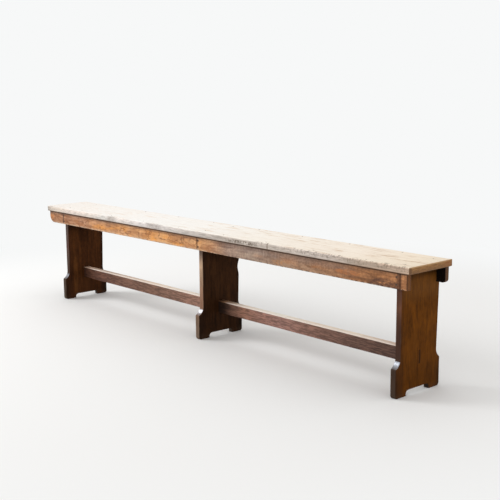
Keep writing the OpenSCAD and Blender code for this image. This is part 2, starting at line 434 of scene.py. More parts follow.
# %% [markdown]
# ## Boards
#
# A board is an outline given a thickness. Rings of points run round it: they start
# on one face, roll over the arris, cross the edge, roll over the other arris and
# end on the other face. The arris is what use wears away first, so its size is
# asked for at every point. A network of triangles, with points all over, fills each
# face, so that the wood can be hollowed and dented there. Near a corner the rings
# draw together so that they never cross, and nail pockets and mortises are left
# open in the network, so every board is one closed skin. Each point also carries
# two shares that the finishes read: how far it is on the edge, and how far on an
# arris.

# %% The board builder
# Faces across an arris, and the share of the free room that the arris and all the
# rings may take.
ARRIS_STEPS = 4
ARRIS_SHARE = 0.6
RING_SHARE = 0.85
# How much of the arris share the face ring next to the arris carries.
NEAR_ARRIS = 0.5
# Half the size of a nail head, and the pocket over it.
NAIL_HALF_L = 3.9
NAIL_HALF_W = 2.9
POCKET_CORNER_R = 0.8
POCKET_SPACING = 3.0
POCKET_LIP = 0.4
POCKET_DEPTH = 2.4
# Rows of the network, its distance from the rings, and how its triangles are made.
ROW_SHARE = 0.87
CLEAR_SHARE = 0.5
INSIDE_WITHOUT_HOLES = 2
SAME_SPOT = 1e-7


class Board:
    """A board in the making. Its own axes are u and v across the face and w through it,
    in millimetres, and place turns them into the frame's."""

    def __init__(self, low, high, place):
        self.low = low
        self.high = high
        self.place = place
        self.points = []
        self.edge = []
        self.arris = []
        self.faces = []

    def point(self, spot, w, edge=0.0, arris=0.0):
        """Adds a point and gives its number."""
        self.points.append(Vector((spot.x, spot.y, w)))
        self.edge.append(edge)
        self.arris.append(arris)
        return len(self.points) - 1

    def band(self, first, second):
        """Joins two rings by four-sided faces."""
        count = len(first)
        for k in range(count):
            after = (k + 1) % count
            self.faces.append((first[k], first[after], second[after], second[k]))

    def half_wall(self, outline, ways, sizes, upper, margins):
        """The rings from one face to the edge. sizes gives, at each point, how deep the
        arris goes into the face, how far down the edge, and how flat it is worn. Near a
        corner the rings draw together, so that they never cross."""
        face = self.high if upper else self.low
        inside = -1 if upper else 1
        worn = []
        for here, way, free in zip(outline, ways, room(outline, ways)):
            depth, drop, flat = sizes(here, way, upper)
            depth = min(depth, ARRIS_SHARE * free)
            spread = min(1.0, (RING_SHARE * free - depth) / max(margins, default=1.0))
            worn.append((depth, drop, flat, spread))
        rings = []
        for number, margin in enumerate(reversed(margins)):
            ring = []
            for here, way, (depth, drop, flat, spread) in zip(outline, ways, worn):
                share = NEAR_ARRIS * number / max(len(margins) - 1, 1)
                ring.append(self.point(here + way * (depth + spread * margin), face, 0.0, share))
            rings.append(ring)
        for step in range(ARRIS_STEPS + 1):
            t = step / ARRIS_STEPS
            angle = t * math.pi / 2
            ring = []
            for here, way, (depth, drop, flat, spread) in zip(outline, ways, worn):
                inset = depth * (flat * (1 - t) + (1 - flat) * (1 - math.sin(angle)))
                fall = drop * (flat * t + (1 - flat) * (1 - math.cos(angle)))
                ring.append(self.point(here + way * inset, face + inside * fall, t, 1.0))
            rings.append(ring)
        return rings

    def wall(self, outline, sizes, margins, side_rings=2):
        """The board's edge all round an outline, with a ring on each face at every margin.
        Gives its first and last ring."""
        ways = inward(outline)
        lower = self.half_wall(outline, ways, sizes, False, margins)
        upper = self.half_wall(outline, ways, sizes, True, margins)
        rings = lower[:]
        for number in range(side_rings):
            share = (number + 1) / (side_rings + 1)
            ring = []
            for here, below, above in zip(outline, lower[-1], upper[-1]):
                w = self.points[below].z * (1 - share) + self.points[above].z * share
                ring.append(self.point(here, w, 1.0, 0.0))
            rings.append(ring)
        rings += reversed(upper)
        for first, second in zip(rings, rings[1:]):
            self.band(first, second)
        return rings[0], rings[-1]

    def pocket(self, centre, upper):
        """Sinks a square pocket into one face, for a nail head. Gives its rim."""
        face = self.high if upper else self.low
        inside = -1 if upper else 1
        corners = []
        for side_u, side_v in ((-1, -1), (-1, 1), (1, 1), (1, -1)):
            corners.append(centre + Vector((side_u * NAIL_HALF_L, side_v * NAIL_HALF_W)))
        outline = drawn(corners, POCKET_CORNER_R, POCKET_SPACING)
        ways = inward(outline)
        rim = [self.point(here + way * POCKET_LIP, face) for here, way in zip(outline, ways)]
        lip = [self.point(here, face + inside * POCKET_LIP) for here in outline]
        foot = [self.point(here, face + inside * POCKET_DEPTH) for here in outline]
        if upper:
            self.band(foot, lip)
            self.band(lip, rim)
            self.faces.append(tuple(reversed(foot)))
        else:
            self.band(rim, lip)
            self.band(lip, foot)
            self.faces.append(tuple(foot))
        return rim

    def cap(self, loops, upper, spacing, extra=()):
        """Fills one face inside its first loop and outside the others. All loops turn left,
        because the fill only leaves out holes that do."""
        face = self.high if upper else self.low
        spots = []
        owners = []
        rims = []
        for loop in loops:
            rim = list(range(len(spots), len(spots) + len(loop)))
            spots += [self.points[number].xy for number in loop]
            owners += loop
            turn = sum(spots[k].cross(spots[after]) for k, after in zip(rim, rim[1:] + rim[:1]))
            rims.append(rim if turn > 0 else rim[::-1])
        for spot in extra:
            spots.append(Vector(spot))
            owners.append(None)
        near = kdtree.KDTree(len(spots))
        for k, spot in enumerate(spots):
            near.insert(spot.to_3d(), k)
        near.balance()
        for spot in self.lattice(spots, spacing):
            if near.find(spot.to_3d())[2] > CLEAR_SHARE * spacing:
                spots.append(spot)
                owners.append(None)
        filled = delaunay_2d_cdt(spots, [], rims, INSIDE_WITHOUT_HOLES, SAME_SPOT)
        corners, _, triangles, sources, _, _ = filled
        numbers = {}
        for triangle in triangles:
            ends = []
            for corner in triangle:
                if corner not in numbers:
                    owner = owners[sources[corner][0]] if sources[corner] else None
                    numbers[corner] = self.point(corners[corner], face) if owner is None else owner
                ends.append(numbers[corner])
            self.faces.append(tuple(ends) if upper else tuple(reversed(ends)))

    def lattice(self, spots, spacing):
        """Points in staggered rows over the box that holds the spots."""
        low_u = min(spot.x for spot in spots)
        high_u = max(spot.x for spot in spots)
        low_v = min(spot.y for spot in spots)
        high_v = max(spot.y for spot in spots)
        rows = math.ceil((high_v - low_v) / (ROW_SHARE * spacing))
        columns = math.ceil((high_u - low_u) / spacing)
        result = []
        for row in range(1, rows):
            for column in range(1, columns):
                u = low_u + (column + 0.5 * (row % 2)) * (high_u - low_u) / columns
                result.append(Vector((u, low_v + row * (high_v - low_v) / rows)))
        return result

    def make(self, name, node, finishes, shape, choose=None):
        """Turns the board into a piece that stands for its node. shape may move each point,
        and choose gives the number of the finish at a place, by how far it is on the edge."""
        placed = []
        for here, edge, arris in zip(self.points, self.edge, self.arris):
            share = (here.z - self.low) / (self.high - self.low)
            placed.append(shape(self.place(here), share) * MM)
        mesh = bpy.data.meshes.new(name)
        mesh.from_pydata(placed, [], self.faces)
        for key, values in (("edge", self.edge), ("arris", self.arris)):
            mesh.attributes.new(key, "FLOAT", "POINT").data.foreach_set("value", values)
        solid = bmesh.new()
        solid.from_mesh(mesh)
        bmesh.ops.recalc_face_normals(solid, faces=solid.faces)
        open_edges = sum(not edge.is_manifold for edge in solid.edges)
        volume = solid.calc_volume()
        solid.to_mesh(mesh)
        solid.free()
        mesh.shade_smooth()
        for finish in finishes:
            mesh.materials.append(finish)
        if choose:
            for face in mesh.polygons:
                face.material_index = choose(min(self.edge[k] for k in face.vertices), face.center / MM)
        piece = bpy.data.objects.new(name, mesh)
        bpy.context.scene.collection.objects.link(piece)
        piece.modifiers.new("flat faces stay flat", "WEIGHTED_NORMAL")
        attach(piece, "root")
        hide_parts(node)
        size = round(volume / MM**3)
        print(name, len(mesh.vertices), "points,", open_edges, "open edges,", size, "mm3")


# %% Ways to draw a board
def from_above(p):
    """A board that is drawn in plan lies as it is drawn."""
    return Vector((p.x, p.y, p.z))


def from_front(p):
    """A board that is drawn from the front stands along the bench."""
    return Vector((p.x, -p.z, p.y))


def from_right_end(p):
    """A board that is drawn from the right end stands across the bench."""
    return Vector((p.z, p.x, p.y))


def hidden_arris(here, way, upper):
    """The small arris of an edge that lies inside a joint."""
    return 0.3, 0.3, 0.0


# %% [markdown]
# ## How hands and knives leave wood
#
# No face of an old board is flat and no arris is even. A smooth noise that is fixed
# in space gives the small hollows, always cut into the wood and never added to it,
# so that the piece stays inside its true size.


# %% Unevenness
def lump(place, length, seed):
    """Smooth noise from 0 to 1 over lumps of a length in millimetres."""
    return 0.5 + 0.5 * noise.noise(place / length + Vector((seed, 3 * seed, -seed)))


def bell(value, centre, half):
    """1 at the centre, falling smoothly to 0 at half a width away."""
    away = min(abs(value - centre) / half, 1.0)
    return (1 - away * away) ** 2


# %% [markdown]
# ## Seat
#
# The seat is one plank. Its top front arris is worn round by legs, and chewed in
# places where things were dragged over it. Its ends were sawn and only eased. The
# outline is drawn in plan. Along the front it is cut back a little by noise, with
# a rough stretch right of the middle, and a small chip is gone from the lower back
# corner at the right end. The top is hollowed by sitting. Nail heads lie in small
# pockets.

# %% Seat outline
seat_low, seat_high = box_mm("seat_board")
SEAT_CORNER_R = 3.0
SEAT_FRONT_CORNER_R = 4.0
SEAT_TOP_R = 6.0
SEAT_LOW_R = 2.5
SEAT_END_TOP_R = 2.8
SEAT_END_LOW_R = 1.2
CHEWED_FROM = 262.0
CHEWED_TO = 560.0
CHEWED_LESS_FROM = 480.0
CHEWED_MARGIN = 30.0
FRONT_STRIP = 20.0
CHEWED_SPACING = 3.0
FRONT_SPACING = 7.0
BACK_SPACING = 11.0


def seat_spacing(spot):
    """Short edges where the front is chewed, long ones elsewhere."""
    front = spot.y < seat_low.y + FRONT_STRIP
    if front and CHEWED_FROM - CHEWED_MARGIN < spot.x < CHEWED_TO + CHEWED_MARGIN:
        return CHEWED_SPACING
    return FRONT_SPACING if front else BACK_SPACING


seat_corners = []
for side_x, side_y, start in ((1, -1, -90), (1, 1, 0), (-1, 1, 90), (-1, -1, 180)):
    corner_r = SEAT_CORNER_R if side_y > 0 else SEAT_FRONT_CORNER_R
    centre_x = (seat_high.x if side_x > 0 else seat_low.x) - side_x * corner_r
    centre_y = (seat_high.y if side_y > 0 else seat_low.y) - side_y * corner_r
    seat_corners += arc((centre_x, centre_y), corner_r, start, start + 90, 6)
seat_outline = divided(seat_corners, seat_spacing)
print("seat outline of", len(seat_outline), "points")

# %% Seat wear
CHEWED_EASE = 40.0
BITE_DEPTH = 12.0
MOST_ARRIS_DEPTH = 9.0
MOST_ARRIS_DROP = 8.0
SAT_HOLLOW = 1.0
CHIP_DEPTH = 0.8


def chewing(spot):
    """How rough the front arris is at a place along the seat, from 0 to 1."""
    inside = min(spot.x - CHEWED_FROM, CHEWED_TO - spot.x)
    most = 1.0 if spot.x < CHEWED_LESS_FROM else 0.4
    return max(0.0, min(inside / CHEWED_EASE, 1.0)) * most


def seat_arris(here, way, upper):
    """The long top arrises are worn round and the ends are only eased."""
    along_end = abs(way.x) / way.length
    radius = SEAT_TOP_R if upper else SEAT_LOW_R
    end_radius = SEAT_END_TOP_R if upper else SEAT_END_LOW_R
    radius = radius * (1 - along_end) + end_radius * along_end
    place = Vector((here.x, here.y, 0))
    radius *= 0.75 + 0.4 * lump(place, 60, 4.0)
    if upper and here.y < 0:
        bite = max(0.0, lump(place, 8, 9.0) - 0.45)
        radius += BITE_DEPTH * chewing(here) * bite
    return min(radius, MOST_ARRIS_DEPTH), min(radius, MOST_ARRIS_DROP), 0.0


def shape_seat(place, share):
    """Hollows the top and wavers the edges."""
    result = place.copy()
    hollow = SAT_HOLLOW * bell(place.x, 150, 1100) * bell(place.y, 0, 100)
    result.z -= share * (hollow + 0.4 * lump(place, 160, 1.0))
    result.z += (1 - share) * 0.25 * lump(place, 160, 2.0)
    front = bell(place.y, seat_low.y, 30)
    result.y += front * (0.6 * lump(place, 240, 5.0) + 0.5 * lump(place, 35, 6.0))
    back = bell(place.y, seat_high.y, 30)
    result.y -= back * 0.5 * lump(place, 200, 7.0)
    chip = bell(place.x, seat_high.x, 14) * bell(place.y, seat_high.y, 16) * (1 - share)
    result.z += CHIP_DEPTH * chip
    return result


# %% [markdown]
# ## Seat finish
#
# The plank was scrubbed for years, so its top is bleached almost white, with fine
# grey streaks along the grain. Dirt stays in the chewed front arris, and the sawn
# ends soaked up more of it. The lower front arris is painted dark as the shade
# where the seat meets the apron. The underside never saw a brush and is dark. Rings
# about a pith under the board give the figure, and stretched noise the fibres. The
# numbers beside x, y and z are metres in the frame: the seat lies from 0.4305 to
# 0.455 above the floor, and its front edge is at -0.1135.

# %% Seat finish
SPAN = 2.29
HALF_SPAN = 1.145
plank = Finish("scrubbed_seat_wood")
seat_rings = plank.rings((plank.y, plank.z), (0.02, 0.30), 0.012, 0.10, (0.5, 2.5, 2.5), 2.0)
seat_fibre = plank.mottle((9, 420, 420), 3.0, 1.0)
seat_dash = plank.mottle((11, 82, 82), 4.0, 5.0, 0.64)
seat_cloud = plank.mottle((2.5, 9, 9), 3.0, 8.0)
seat_pore = plank.ease(plank.mottle((45, 900, 900), 1.0, 3.0), 0.62, 0.74)
seat_along = plank.calc("DIVIDE", plank.total(plank.x, HALF_SPAN), SPAN)

scrubbed = plank.ramp(seat_along, [
    (0.00, 240, 234, 227),
    (0.15, 246, 242, 236),
    (0.32, 249, 247, 243),
    (0.50, 251, 248, 242),
    (0.68, 251, 243, 231),
    (0.87, 250, 237, 220),
    (0.96, 247, 232, 209),
    (1.00, 240, 224, 200),
])
stained = plank.ramp(seat_along, [
    (0.00, 234, 214, 198),
    (0.40, 238, 220, 202),
    (0.70, 220, 194, 166),
    (1.00, 198, 164, 130),
])
seat_patch = plank.total(0.2, plank.ease(seat_cloud, 0.42, 0.62, 0.8))
seat_stain = plank.product(plank.ease(seat_dash, 0.5, 0.68), seat_patch)
seat_stain = plank.total(seat_stain, plank.product(seat_rings, 0.12))
seat_colour = plank.blend(seat_stain, scrubbed, stained)
seat_colour = plank.over(seat_colour, (206, 184, 158), seat_fibre, 0.12)
seat_colour = plank.over(seat_colour, (140, 114, 90), seat_pore, 0.15)

# %% Dirt and painted shade on the seat's edges
dirt_noise = plank.mottle((60, 120, 120), 4.0, 12.0, 0.65)
soot_noise = plank.mottle((30, 60, 240), 5.0, 22.0, 0.65)
soot_and_seam_shade = plank.ramp(seat_along, [
    (0.00, 148, 136, 126),
    (0.02, 190, 177, 164),
    (0.05, 202, 188, 174),
    (0.10, 208, 193, 183),
    (0.16, 212, 199, 188),
    (0.22, 200, 195, 189),
    (0.28, 210, 199, 192),
    (0.35, 210, 202, 198),
    (0.40, 205, 197, 192),
    (0.47, 186, 177, 171),
    (0.59, 173, 161, 151),
    (0.64, 180, 168, 158),
    (0.72, 190, 178, 168),
    (0.84, 192, 179, 170),
    (0.90, 168, 149, 133),
    (1.00, 188, 160, 138),
])
soot_depth = plank.ease(soot_noise, 0.38, 0.66, -0.42)
soot_and_seam_shade = plank.scaled(soot_and_seam_shade, plank.total(1.16, soot_depth))
band = plank.product(
    plank.ease(plank.z, 0.4395, 0.4435),
    plank.ease(plank.z, 0.4515, 0.4475),
    plank.ease(plank.x, -0.2, 0.5),
    plank.ease(soot_noise, 0.3, 0.6),
)
soot_and_seam_shade = plank.over(soot_and_seam_shade, (128, 114, 100), band, 0.4)
edge_height = plank.ease(plank.z, 0.4360, 0.4500)
soot_and_seam_shade = plank.scaled(soot_and_seam_shade, plank.total(0.93, plank.product(edge_height, 0.15)))
# Painted shade: the lower front arris is made dark where the seat meets the apron.
seam_shade = plank.ease(plank.z, 0.4348, 0.4318, 0.75)
soot_and_seam_shade = plank.over(soot_and_seam_shade, (84, 60, 44), seam_shade)
front_share = plank.product(
    plank.ease(plank.y, -0.1035, -0.1115),
    plank.ease(plank.z, 0.4548, 0.4512),
)
seat_colour = plank.blend(plank.product(front_share, 0.92), seat_colour, soot_and_seam_shade)
back_share = plank.ease(plank.y, 0.1155, 0.1182)
seat_colour = plank.over(seat_colour, (150, 124, 96), back_share, 0.6)

# %% Ticks and marks along the seat's front edge
tick_noise = plank.mottle((150, 60, 90), 2.0, 15.0, 0.6)
on_arris = plank.product(
    plank.ease(plank.y, -0.102, -0.108),
    plank.ease(plank.z, 0.4435, 0.4475),
)
chewed_part = plank.ease(plank.apart(plank.x, 0.345), 0.13, 0.07)
low_part = plank.ease(plank.x, 0.43, 0.39)
below_arris = plank.product(
    plank.ease(plank.y, -0.102, -0.108),
    plank.ease(plank.z, 0.4340, 0.4375),
    plank.ease(plank.z, 0.4495, 0.4455),
)
tick_band = plank.blend(low_part, on_arris, below_arris)
nibbled = plank.ease(plank.x, 0.49, 0.64, 0.5)
bitten = plank.largest(chewed_part, nibbled)
crowded = plank.total(tick_noise, plank.product(low_part, 0.06))
ticks = plank.product(tick_band, bitten, plank.ease(crowded, 0.5, 0.6))
scored = plank.product(
    front_share,
    plank.ease(plank.x, 0.45, 0.70),
    plank.ease(plank.z, 0.4355, 0.4410),
    plank.ease(tick_noise, 0.52, 0.64),
    0.5,
)
ticks = plank.largest(ticks, scored)
seat_colour = plank.over(seat_colour, (92, 74, 58), ticks, 0.85)

marks = []
for place_x, place_y, reach_x, reach_y in (
    (-1.110, -0.109, 0.030, 0.004),
    (-0.575, -0.110, 0.050, 0.006),
    (-0.250, -0.110, 0.080, 0.006),
    (0.470, -0.1085, 0.006, 0.007),
    (0.833, -0.106, 0.006, 0.006),
    (0.905, -0.101, 0.012, 0.003),
    (1.040, -0.100, 0.014, 0.005),
    (1.078, -0.105, 0.009, 0.003),
    (1.089, -0.072, 0.005, 0.004),
    (1.118, -0.107, 0.012, 0.003),
):
    mark = plank.spot((plank.x, plank.y), (place_x, place_y), (reach_x, reach_y))
    if reach_x > 0.02:
        mark = plank.product(mark, 0.5)
    marks.append(mark)
marked = plank.product(plank.largest(*marks), plank.ease(dirt_noise, 0.3, 0.6), 0.85)
seat_colour = plank.over(seat_colour, (104, 82, 64), marked)
print("marks on the seat:", len(marks))

# %% Ends and underside of the seat
end_share = plank.ease(plank.apart(plank.x), 1.1425, 1.1440)
end_grain = plank.mottle((60, 60, 420), 3.0, 17.0, 0.6)
end_tone = plank.blend(plank.ease(end_grain, 0.35, 0.7), tone(158, 112, 62), tone(114, 78, 38))
end_low = plank.ease(plank.z, 0.4450, 0.4370, 0.4)
end_tone = plank.over(end_tone, (104, 72, 42), end_low)
end_high = plank.ease(plank.z, 0.4490, 0.4535, 0.5)
end_tone = plank.over(end_tone, (216, 178, 130), end_high)
end_corners = plank.ease(plank.apart(plank.y, 0.0025), 0.1080, 0.1150)
end_tone = plank.over(end_tone, (88, 60, 36), end_corners, 0.5)
burnt = plank.product(plank.ease(plank.y, 0.055, 0.09), plank.ease(end_grain, 0.3, 0.6), 0.5)
end_tone = plank.over(end_tone, (146, 84, 34), burnt)
seat_colour = plank.blend(end_share, seat_colour, end_tone)
round_corner = plank.product(
    plank.ease(plank.x, 1.1425, 1.1438),
    plank.ease(plank.y, -0.0990, -0.1035),
    plank.ease(plank.z, 0.4540, 0.4505),
    0.85,
)
seat_colour = plank.over(seat_colour, (104, 72, 44), round_corner)
under = plank.ease(plank.z, 0.4335, 0.4315)
seat_colour = plank.over(seat_colour, (118, 84, 54), under)

seat_height = plank.total(
    plank.product(seat_fibre, 0.5),
    plank.product(seat_rings, 0.25),
    plank.product(seat_pore, -0.5),
    plank.product(dirt_noise, 0.3),
    plank.product(ticks, -0.6),
)
seat_rough = plank.total(0.46, plank.product(seat_dash, 0.16))
seat_finish = plank.surface(seat_colour, seat_rough, seat_height, 0.0005, **{"Specular IOR Level": 0.3})

# %% Seat piece
SEAT_LOW_SPACING = 16.0
SEAT_TOP_SPACING = 12.0
# Which faces of the nails are heads: how square they look along the axis, how near
# the outermost face they lie in metres, and how near each other on one head.
HEAD_SQUARE = 0.9
HEAD_LEVEL = 1e-4
HEAD_REACH = 9.0


def nail_heads(node, axis, outward):
    """Middles of the nail heads of a node. They look along an axis, outward 1 or -1."""
    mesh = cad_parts[node].data
    others = [k for k in range(3) if k != axis]
    outermost = outward * max(abs(vertex.co[axis]) for vertex in mesh.vertices)
    heads = []
    for polygon in mesh.polygons:
        if polygon.normal[axis] * outward < HEAD_SQUARE:
            continue
        if abs(polygon.center[axis] - outermost) > HEAD_LEVEL:
            continue
        spot = Vector((polygon.center[others[0]], polygon.center[others[1]])) / MM
        for head in heads:
            if (head[0] - spot).length < HEAD_REACH:
                head.append(spot)
                break
        else:
            heads.append([spot])
    return [sum(head, Vector((0, 0))) / len(head) for head in heads]


seat_nails = nail_heads("seat_nails", 2, 1)
seat = Board(seat_low.z, seat_high.z, from_above)
lower_ring, upper_ring = seat.wall(seat_outline, seat_arris, margins=(2.0, 6.0))
pockets = [seat.pocket(spot, True) for spot in seat_nails]
seat.cap([lower_ring], False, SEAT_LOW_SPACING)
seat.cap([upper_ring] + pockets, True, SEAT_TOP_SPACING)
seat.make("seat", "seat_board", [seat_finish], shape_seat)
print("nail heads in the seat:", len(seat_nails))

# %% [markdown]
# ## Aprons
#
# Each apron is a thin board on edge, let into the corners of the legs. The left
# lower corner of the front one is sawn round, and its right end is cut square.
# Both lower corners of the back one are round. The outline is drawn from the
# front. The lower outside arris is planed to a small bevel. A dark line is scribed
# down the face beside each leg, and the face needs extra points there to hold it.

# %% Apron shapes
front_low, front_high = box_mm("front_apron")
back_low, back_high = box_mm("back_apron")
leg_boxes = {name: box_mm(name) for name in ("left_leg", "centre_leg", "right_leg")}
APRON_BEVEL = 2.5
APRON_R = 1.1
APRON_CORNER_R = 1.2
APRON_EDGE_SPACING = 9.0
APRON_FACE_SPACING = 10.0
LINE_DEPTH = 1.5
LINE_HALF = 1.1
LINE_OFFSETS = (-1.6, -0.6, 0.0, 0.6, 1.6)
LINE_ROWS = 8
CLEAR_OF_CORNER = 0.3
FRONT_CORNER_R = 33.0
BACK_CORNER_R = 13.0
line_places = [leg_boxes["left_leg"][0].x, leg_boxes["centre_leg"][0].x, leg_boxes["right_leg"][1].x]


def apron_outline(low, high, left_r, right_r):
    """An apron from the front, with round lower corners where a radius is given."""
    points = arc((low.x + left_r, low.z + left_r), left_r, 180, 270, 9)
    if right_r:
        points += arc((high.x - right_r, low.z + right_r), right_r, 270, 360, 9)
    else:
        points.append(Vector((high.x, low.z)))
    points += [Vector((high.x, high.z)), Vector((low.x, high.z))]
    return points


def line_columns():
    """Places along an apron where it needs points to hold a scribed line."""
    return [line + offset * LINE_HALF for line in line_places for offset in LINE_OFFSETS]


def with_columns(points, columns):
    """An outline with a point wherever a level edge crosses a column."""
    result = []
    for here, after in zip(points, points[1:] + points[:1]):
        result.append(here)
        first = min(here.x, after.x) + CLEAR_OF_CORNER
        last = max(here.x, after.x) - CLEAR_OF_CORNER
        crossed = [u for u in columns if first < u < last]
        for u in sorted(crossed, reverse=after.x < here.x):
            result.append(here.lerp(after, (u - here.x) / (after.x - here.x)))
    return result


def apron_arris(outer_is_upper):
    """Arris sizes of an apron: a bevel below on the outside, eased elsewhere."""
    def sizes(here, way, upper):
        outside = upper == outer_is_upper
        below = max(0.0, way.y / way.length)
        waver = 0.8 + 0.5 * lump(Vector((here.x, 0, here.y)), 45, 3.0)
        radius = APRON_R + (APRON_BEVEL - APRON_R) * below * outside
        return radius * waver, radius * waver, 0.5 * below * outside
    return sizes


def apron_shape(outer_y):
    """Moves the points of an apron: scribed lines, and hollows of the plane."""
    side = 1 if outer_y > 0 else -1

    def shape(place, share):
        result = place.copy()
        outside = max(0.0, 1 - abs(place.y - outer_y) / 6)
        cut = max(bell(place.x, line, 1.8 * LINE_HALF) for line in line_places)
        cut *= 0.55 + 0.45 * lump(place, 14, 8.0)
        waver = 0.35 * lump(place, 120, 4.0) + 0.25 * lump(place, 28, 5.0)
        result.y -= side * outside * (LINE_DEPTH * cut + waver)
        lower = bell(place.z, front_low.z, 8)
        result.z += lower * (0.5 * lump(place, 150, 6.0) + 0.4 * lump(place, 22, 7.0))
        return result
    return shape


# %% [markdown]
# ## Apron finish
#
# Under the seat the wood kept its varnish. It is orange-brown at the left, where the
# figure shows as flames and small knots, worn grey and purple right of the middle
# leg, and reddish-brown at the right end. Colours that change along the board are a
# ramp on its length, shifted by noise so that no edge is straight. A thin clear
# coat on top gives the satin shine.

# %% Apron finish
# Places along the apron from 0 to 1, with the light and the dark tone there.
APRON_TONES = (
    (0.00, (172, 124, 90), (126, 80, 48)),
    (0.06, (186, 138, 104), (142, 90, 54)),
    (0.12, (190, 142, 110), (154, 102, 66)),
    (0.20, (202, 150, 108), (146, 99, 66)),
    (0.28, (216, 164, 118), (170, 120, 80)),
    (0.37, (218, 164, 112), (180, 122, 72)),
    (0.47, (226, 172, 116), (186, 128, 82)),
    (0.55, (202, 154, 112), (154, 104, 70)),
    (0.60, (176, 146, 126), (128, 104, 92)),
    (0.66, (172, 150, 132), (136, 112, 97)),
    (0.73, (168, 138, 114), (134, 104, 84)),
    (0.80, (170, 134, 106), (126, 92, 68)),
    (0.86, (172, 126, 90), (132, 94, 68)),
    (0.93, (180, 124, 80), (108, 70, 44)),
    (1.00, (198, 138, 92), (152, 102, 66)),
)


def left_part(wood):
    """1 left of the middle leg, 0 right of it."""
    return wood.ease(wood.x, 0.14, 0.04)


def apron_tones(wood, cloud):
    """The light and the dark tone of the apron at each place along it."""
    shift = wood.sway(cloud, 0.09)
    along = wood.calc("DIVIDE", wood.total(wood.x, shift, HALF_SPAN), SPAN)
    light = wood.ramp(along, [(place, *tones) for place, tones, _ in APRON_TONES])
    dark = wood.ramp(along, [(place, *tones) for place, _, tones in APRON_TONES])
    return light, dark


def apron_wear(wood, colour, cloud):
    """Scribed lines, a darker top band, painted seat shade and the rubbed lower arris over a colour."""
    ragged = wood.mottle((70, 70, 90), 3.0, 40.0, 0.6)
    bend = wood.sway(ragged, 0.006)
    lines = []
    for line in line_places:
        near = wood.calc("ABSOLUTE", wood.total(wood.x, -line * MM, bend))
        lines.append(wood.ease(near, 0.0068, 0.0016))
    near = wood.calc("ABSOLUTE", wood.total(wood.x, -1.0925, bend, bend))
    band = wood.product(wood.ease(near, 0.0098, 0.0042), wood.total(0.35, wood.product(ragged, 0.6)))
    colour = wood.over(colour, (66, 38, 28), band)
    line_depth = wood.total(0.45, wood.product(ragged, 0.6))
    colour = wood.over(colour, (58, 30, 18), wood.largest(*lines), line_depth)
    left_share = left_part(wood)
    dim = wood.total(0.28, wood.product(left_share, 0.3))
    dim = wood.product(wood.ease(wood.z, 0.4120, 0.4250), dim, wood.total(0.5, ragged))
    colour = wood.over(colour, (100, 76, 62), dim)
    # Painted shade: a dark line right under the overhang of the seat.
    seat_shadow_line = wood.ease(wood.z, 0.4235, 0.4285)
    colour = wood.over(colour, (38, 23, 16), seat_shadow_line, 0.95)
    faded = wood.product(wood.ease(wood.z, 0.3850, 0.3770), left_share, wood.ease(ragged, 0.3, 0.6), 0.5)
    colour = wood.over(colour, (204, 180, 154), faded)
    low = wood.product(wood.wear("arris"), wood.ease(wood.z, 0.40, 0.378))
    rubbed = wood.product(low, wood.ease(ragged, 0.44, 0.58), wood.ease(cloud, 0.3, 0.55), 0.65)
    colour = wood.over(colour, (208, 180, 152), rubbed)
    smudged = wood.product(low, wood.ease(ragged, 0.54, 0.42), wood.ease(wood.x, 0.1, 0.5), 0.75)
    return wood.over(colour, (70, 48, 38), smudged)


def apron_stains(wood, colour, cloud):
    """Amber, smoky and grey parts and curled figure over a colour."""
    left_share = left_part(wood)
    blotch = wood.mottle((10, 22, 32), 2.0, 31.0)
    amber_tone = wood.blend(left_share, tone(178, 116, 70), tone(228, 154, 74))
    lower = wood.total(0.35, wood.ease(wood.z, 0.418, 0.394, 0.65))
    warm_left = wood.product(left_share, wood.ease(wood.x, -0.95, -0.55))
    warm_right = wood.ease(wood.x, 0.32, 0.48, 0.7)
    warm_part = wood.total(warm_left, warm_right)
    flecked = wood.product(wood.ease(blotch, 0.45, 0.64), wood.ease(cloud, 0.34, 0.54))
    amber = wood.product(flecked, lower, warm_part, 0.8)
    colour = wood.blend(amber, colour, amber_tone)
    smoke_height = wood.total(0.12, wood.ease(wood.z, 0.392, 0.42, 0.25))
    smoky = wood.product(wood.ease(blotch, 0.46, 0.34), smoke_height)
    colour = wood.over(colour, (112, 84, 68), smoky)
    grey_part = wood.product(wood.ease(wood.x, 0.2, 0.36), wood.ease(wood.x, 0.92, 0.84))
    greyed = wood.product(wood.ease(wood.z, 0.394, 0.412), grey_part, 0.3)
    colour = wood.over(colour, (122, 108, 104), greyed)
    curl = wood.mottle((8, 18, 25), 2.0, 27.0, 0.5, 1.5)
    curl_share = wood.total(0.15, wood.product(left_share, 0.5))
    curled = wood.product(wood.ease(wood.apart(curl, 0.5), 0.04, 0.0), curl_share)
    return wood.over(colour, (112, 66, 38), curled)


def apron_grain(wood, colour, fibre):
    """Specks, strips, fibres and fine upright scratches over a colour."""
    left_share = left_part(wood)
    speck = wood.mottle((130, 60, 150), 3.0, 44.0, 0.65)
    strip = wood.mottle((110, 12, 12), 2.0, 48.0)
    speck_share = wood.total(-0.3, wood.product(left_share, 0.22))
    specks = wood.product(wood.ease(speck, 0.35, 0.65), speck_share)
    strips = wood.ease(strip, 0.35, 0.65, -0.12)
    colour = wood.scaled(colour, wood.total(1.21, wood.product(left_share, -0.09), specks, strips))
    colour = wood.over(colour, (96, 60, 42), wood.ease(fibre, 0.45, 0.7), 0.2)
    scratch = wood.mottle((230, 14, 14), 2.0, 35.0, 0.6)
    scratched = wood.product(
        wood.ease(scratch, 0.55, 0.7),
        wood.ease(wood.apart(wood.x, 0.36), 0.24, 0.12),
    )
    return wood.over(colour, (204, 180, 168), scratched, 0.22)


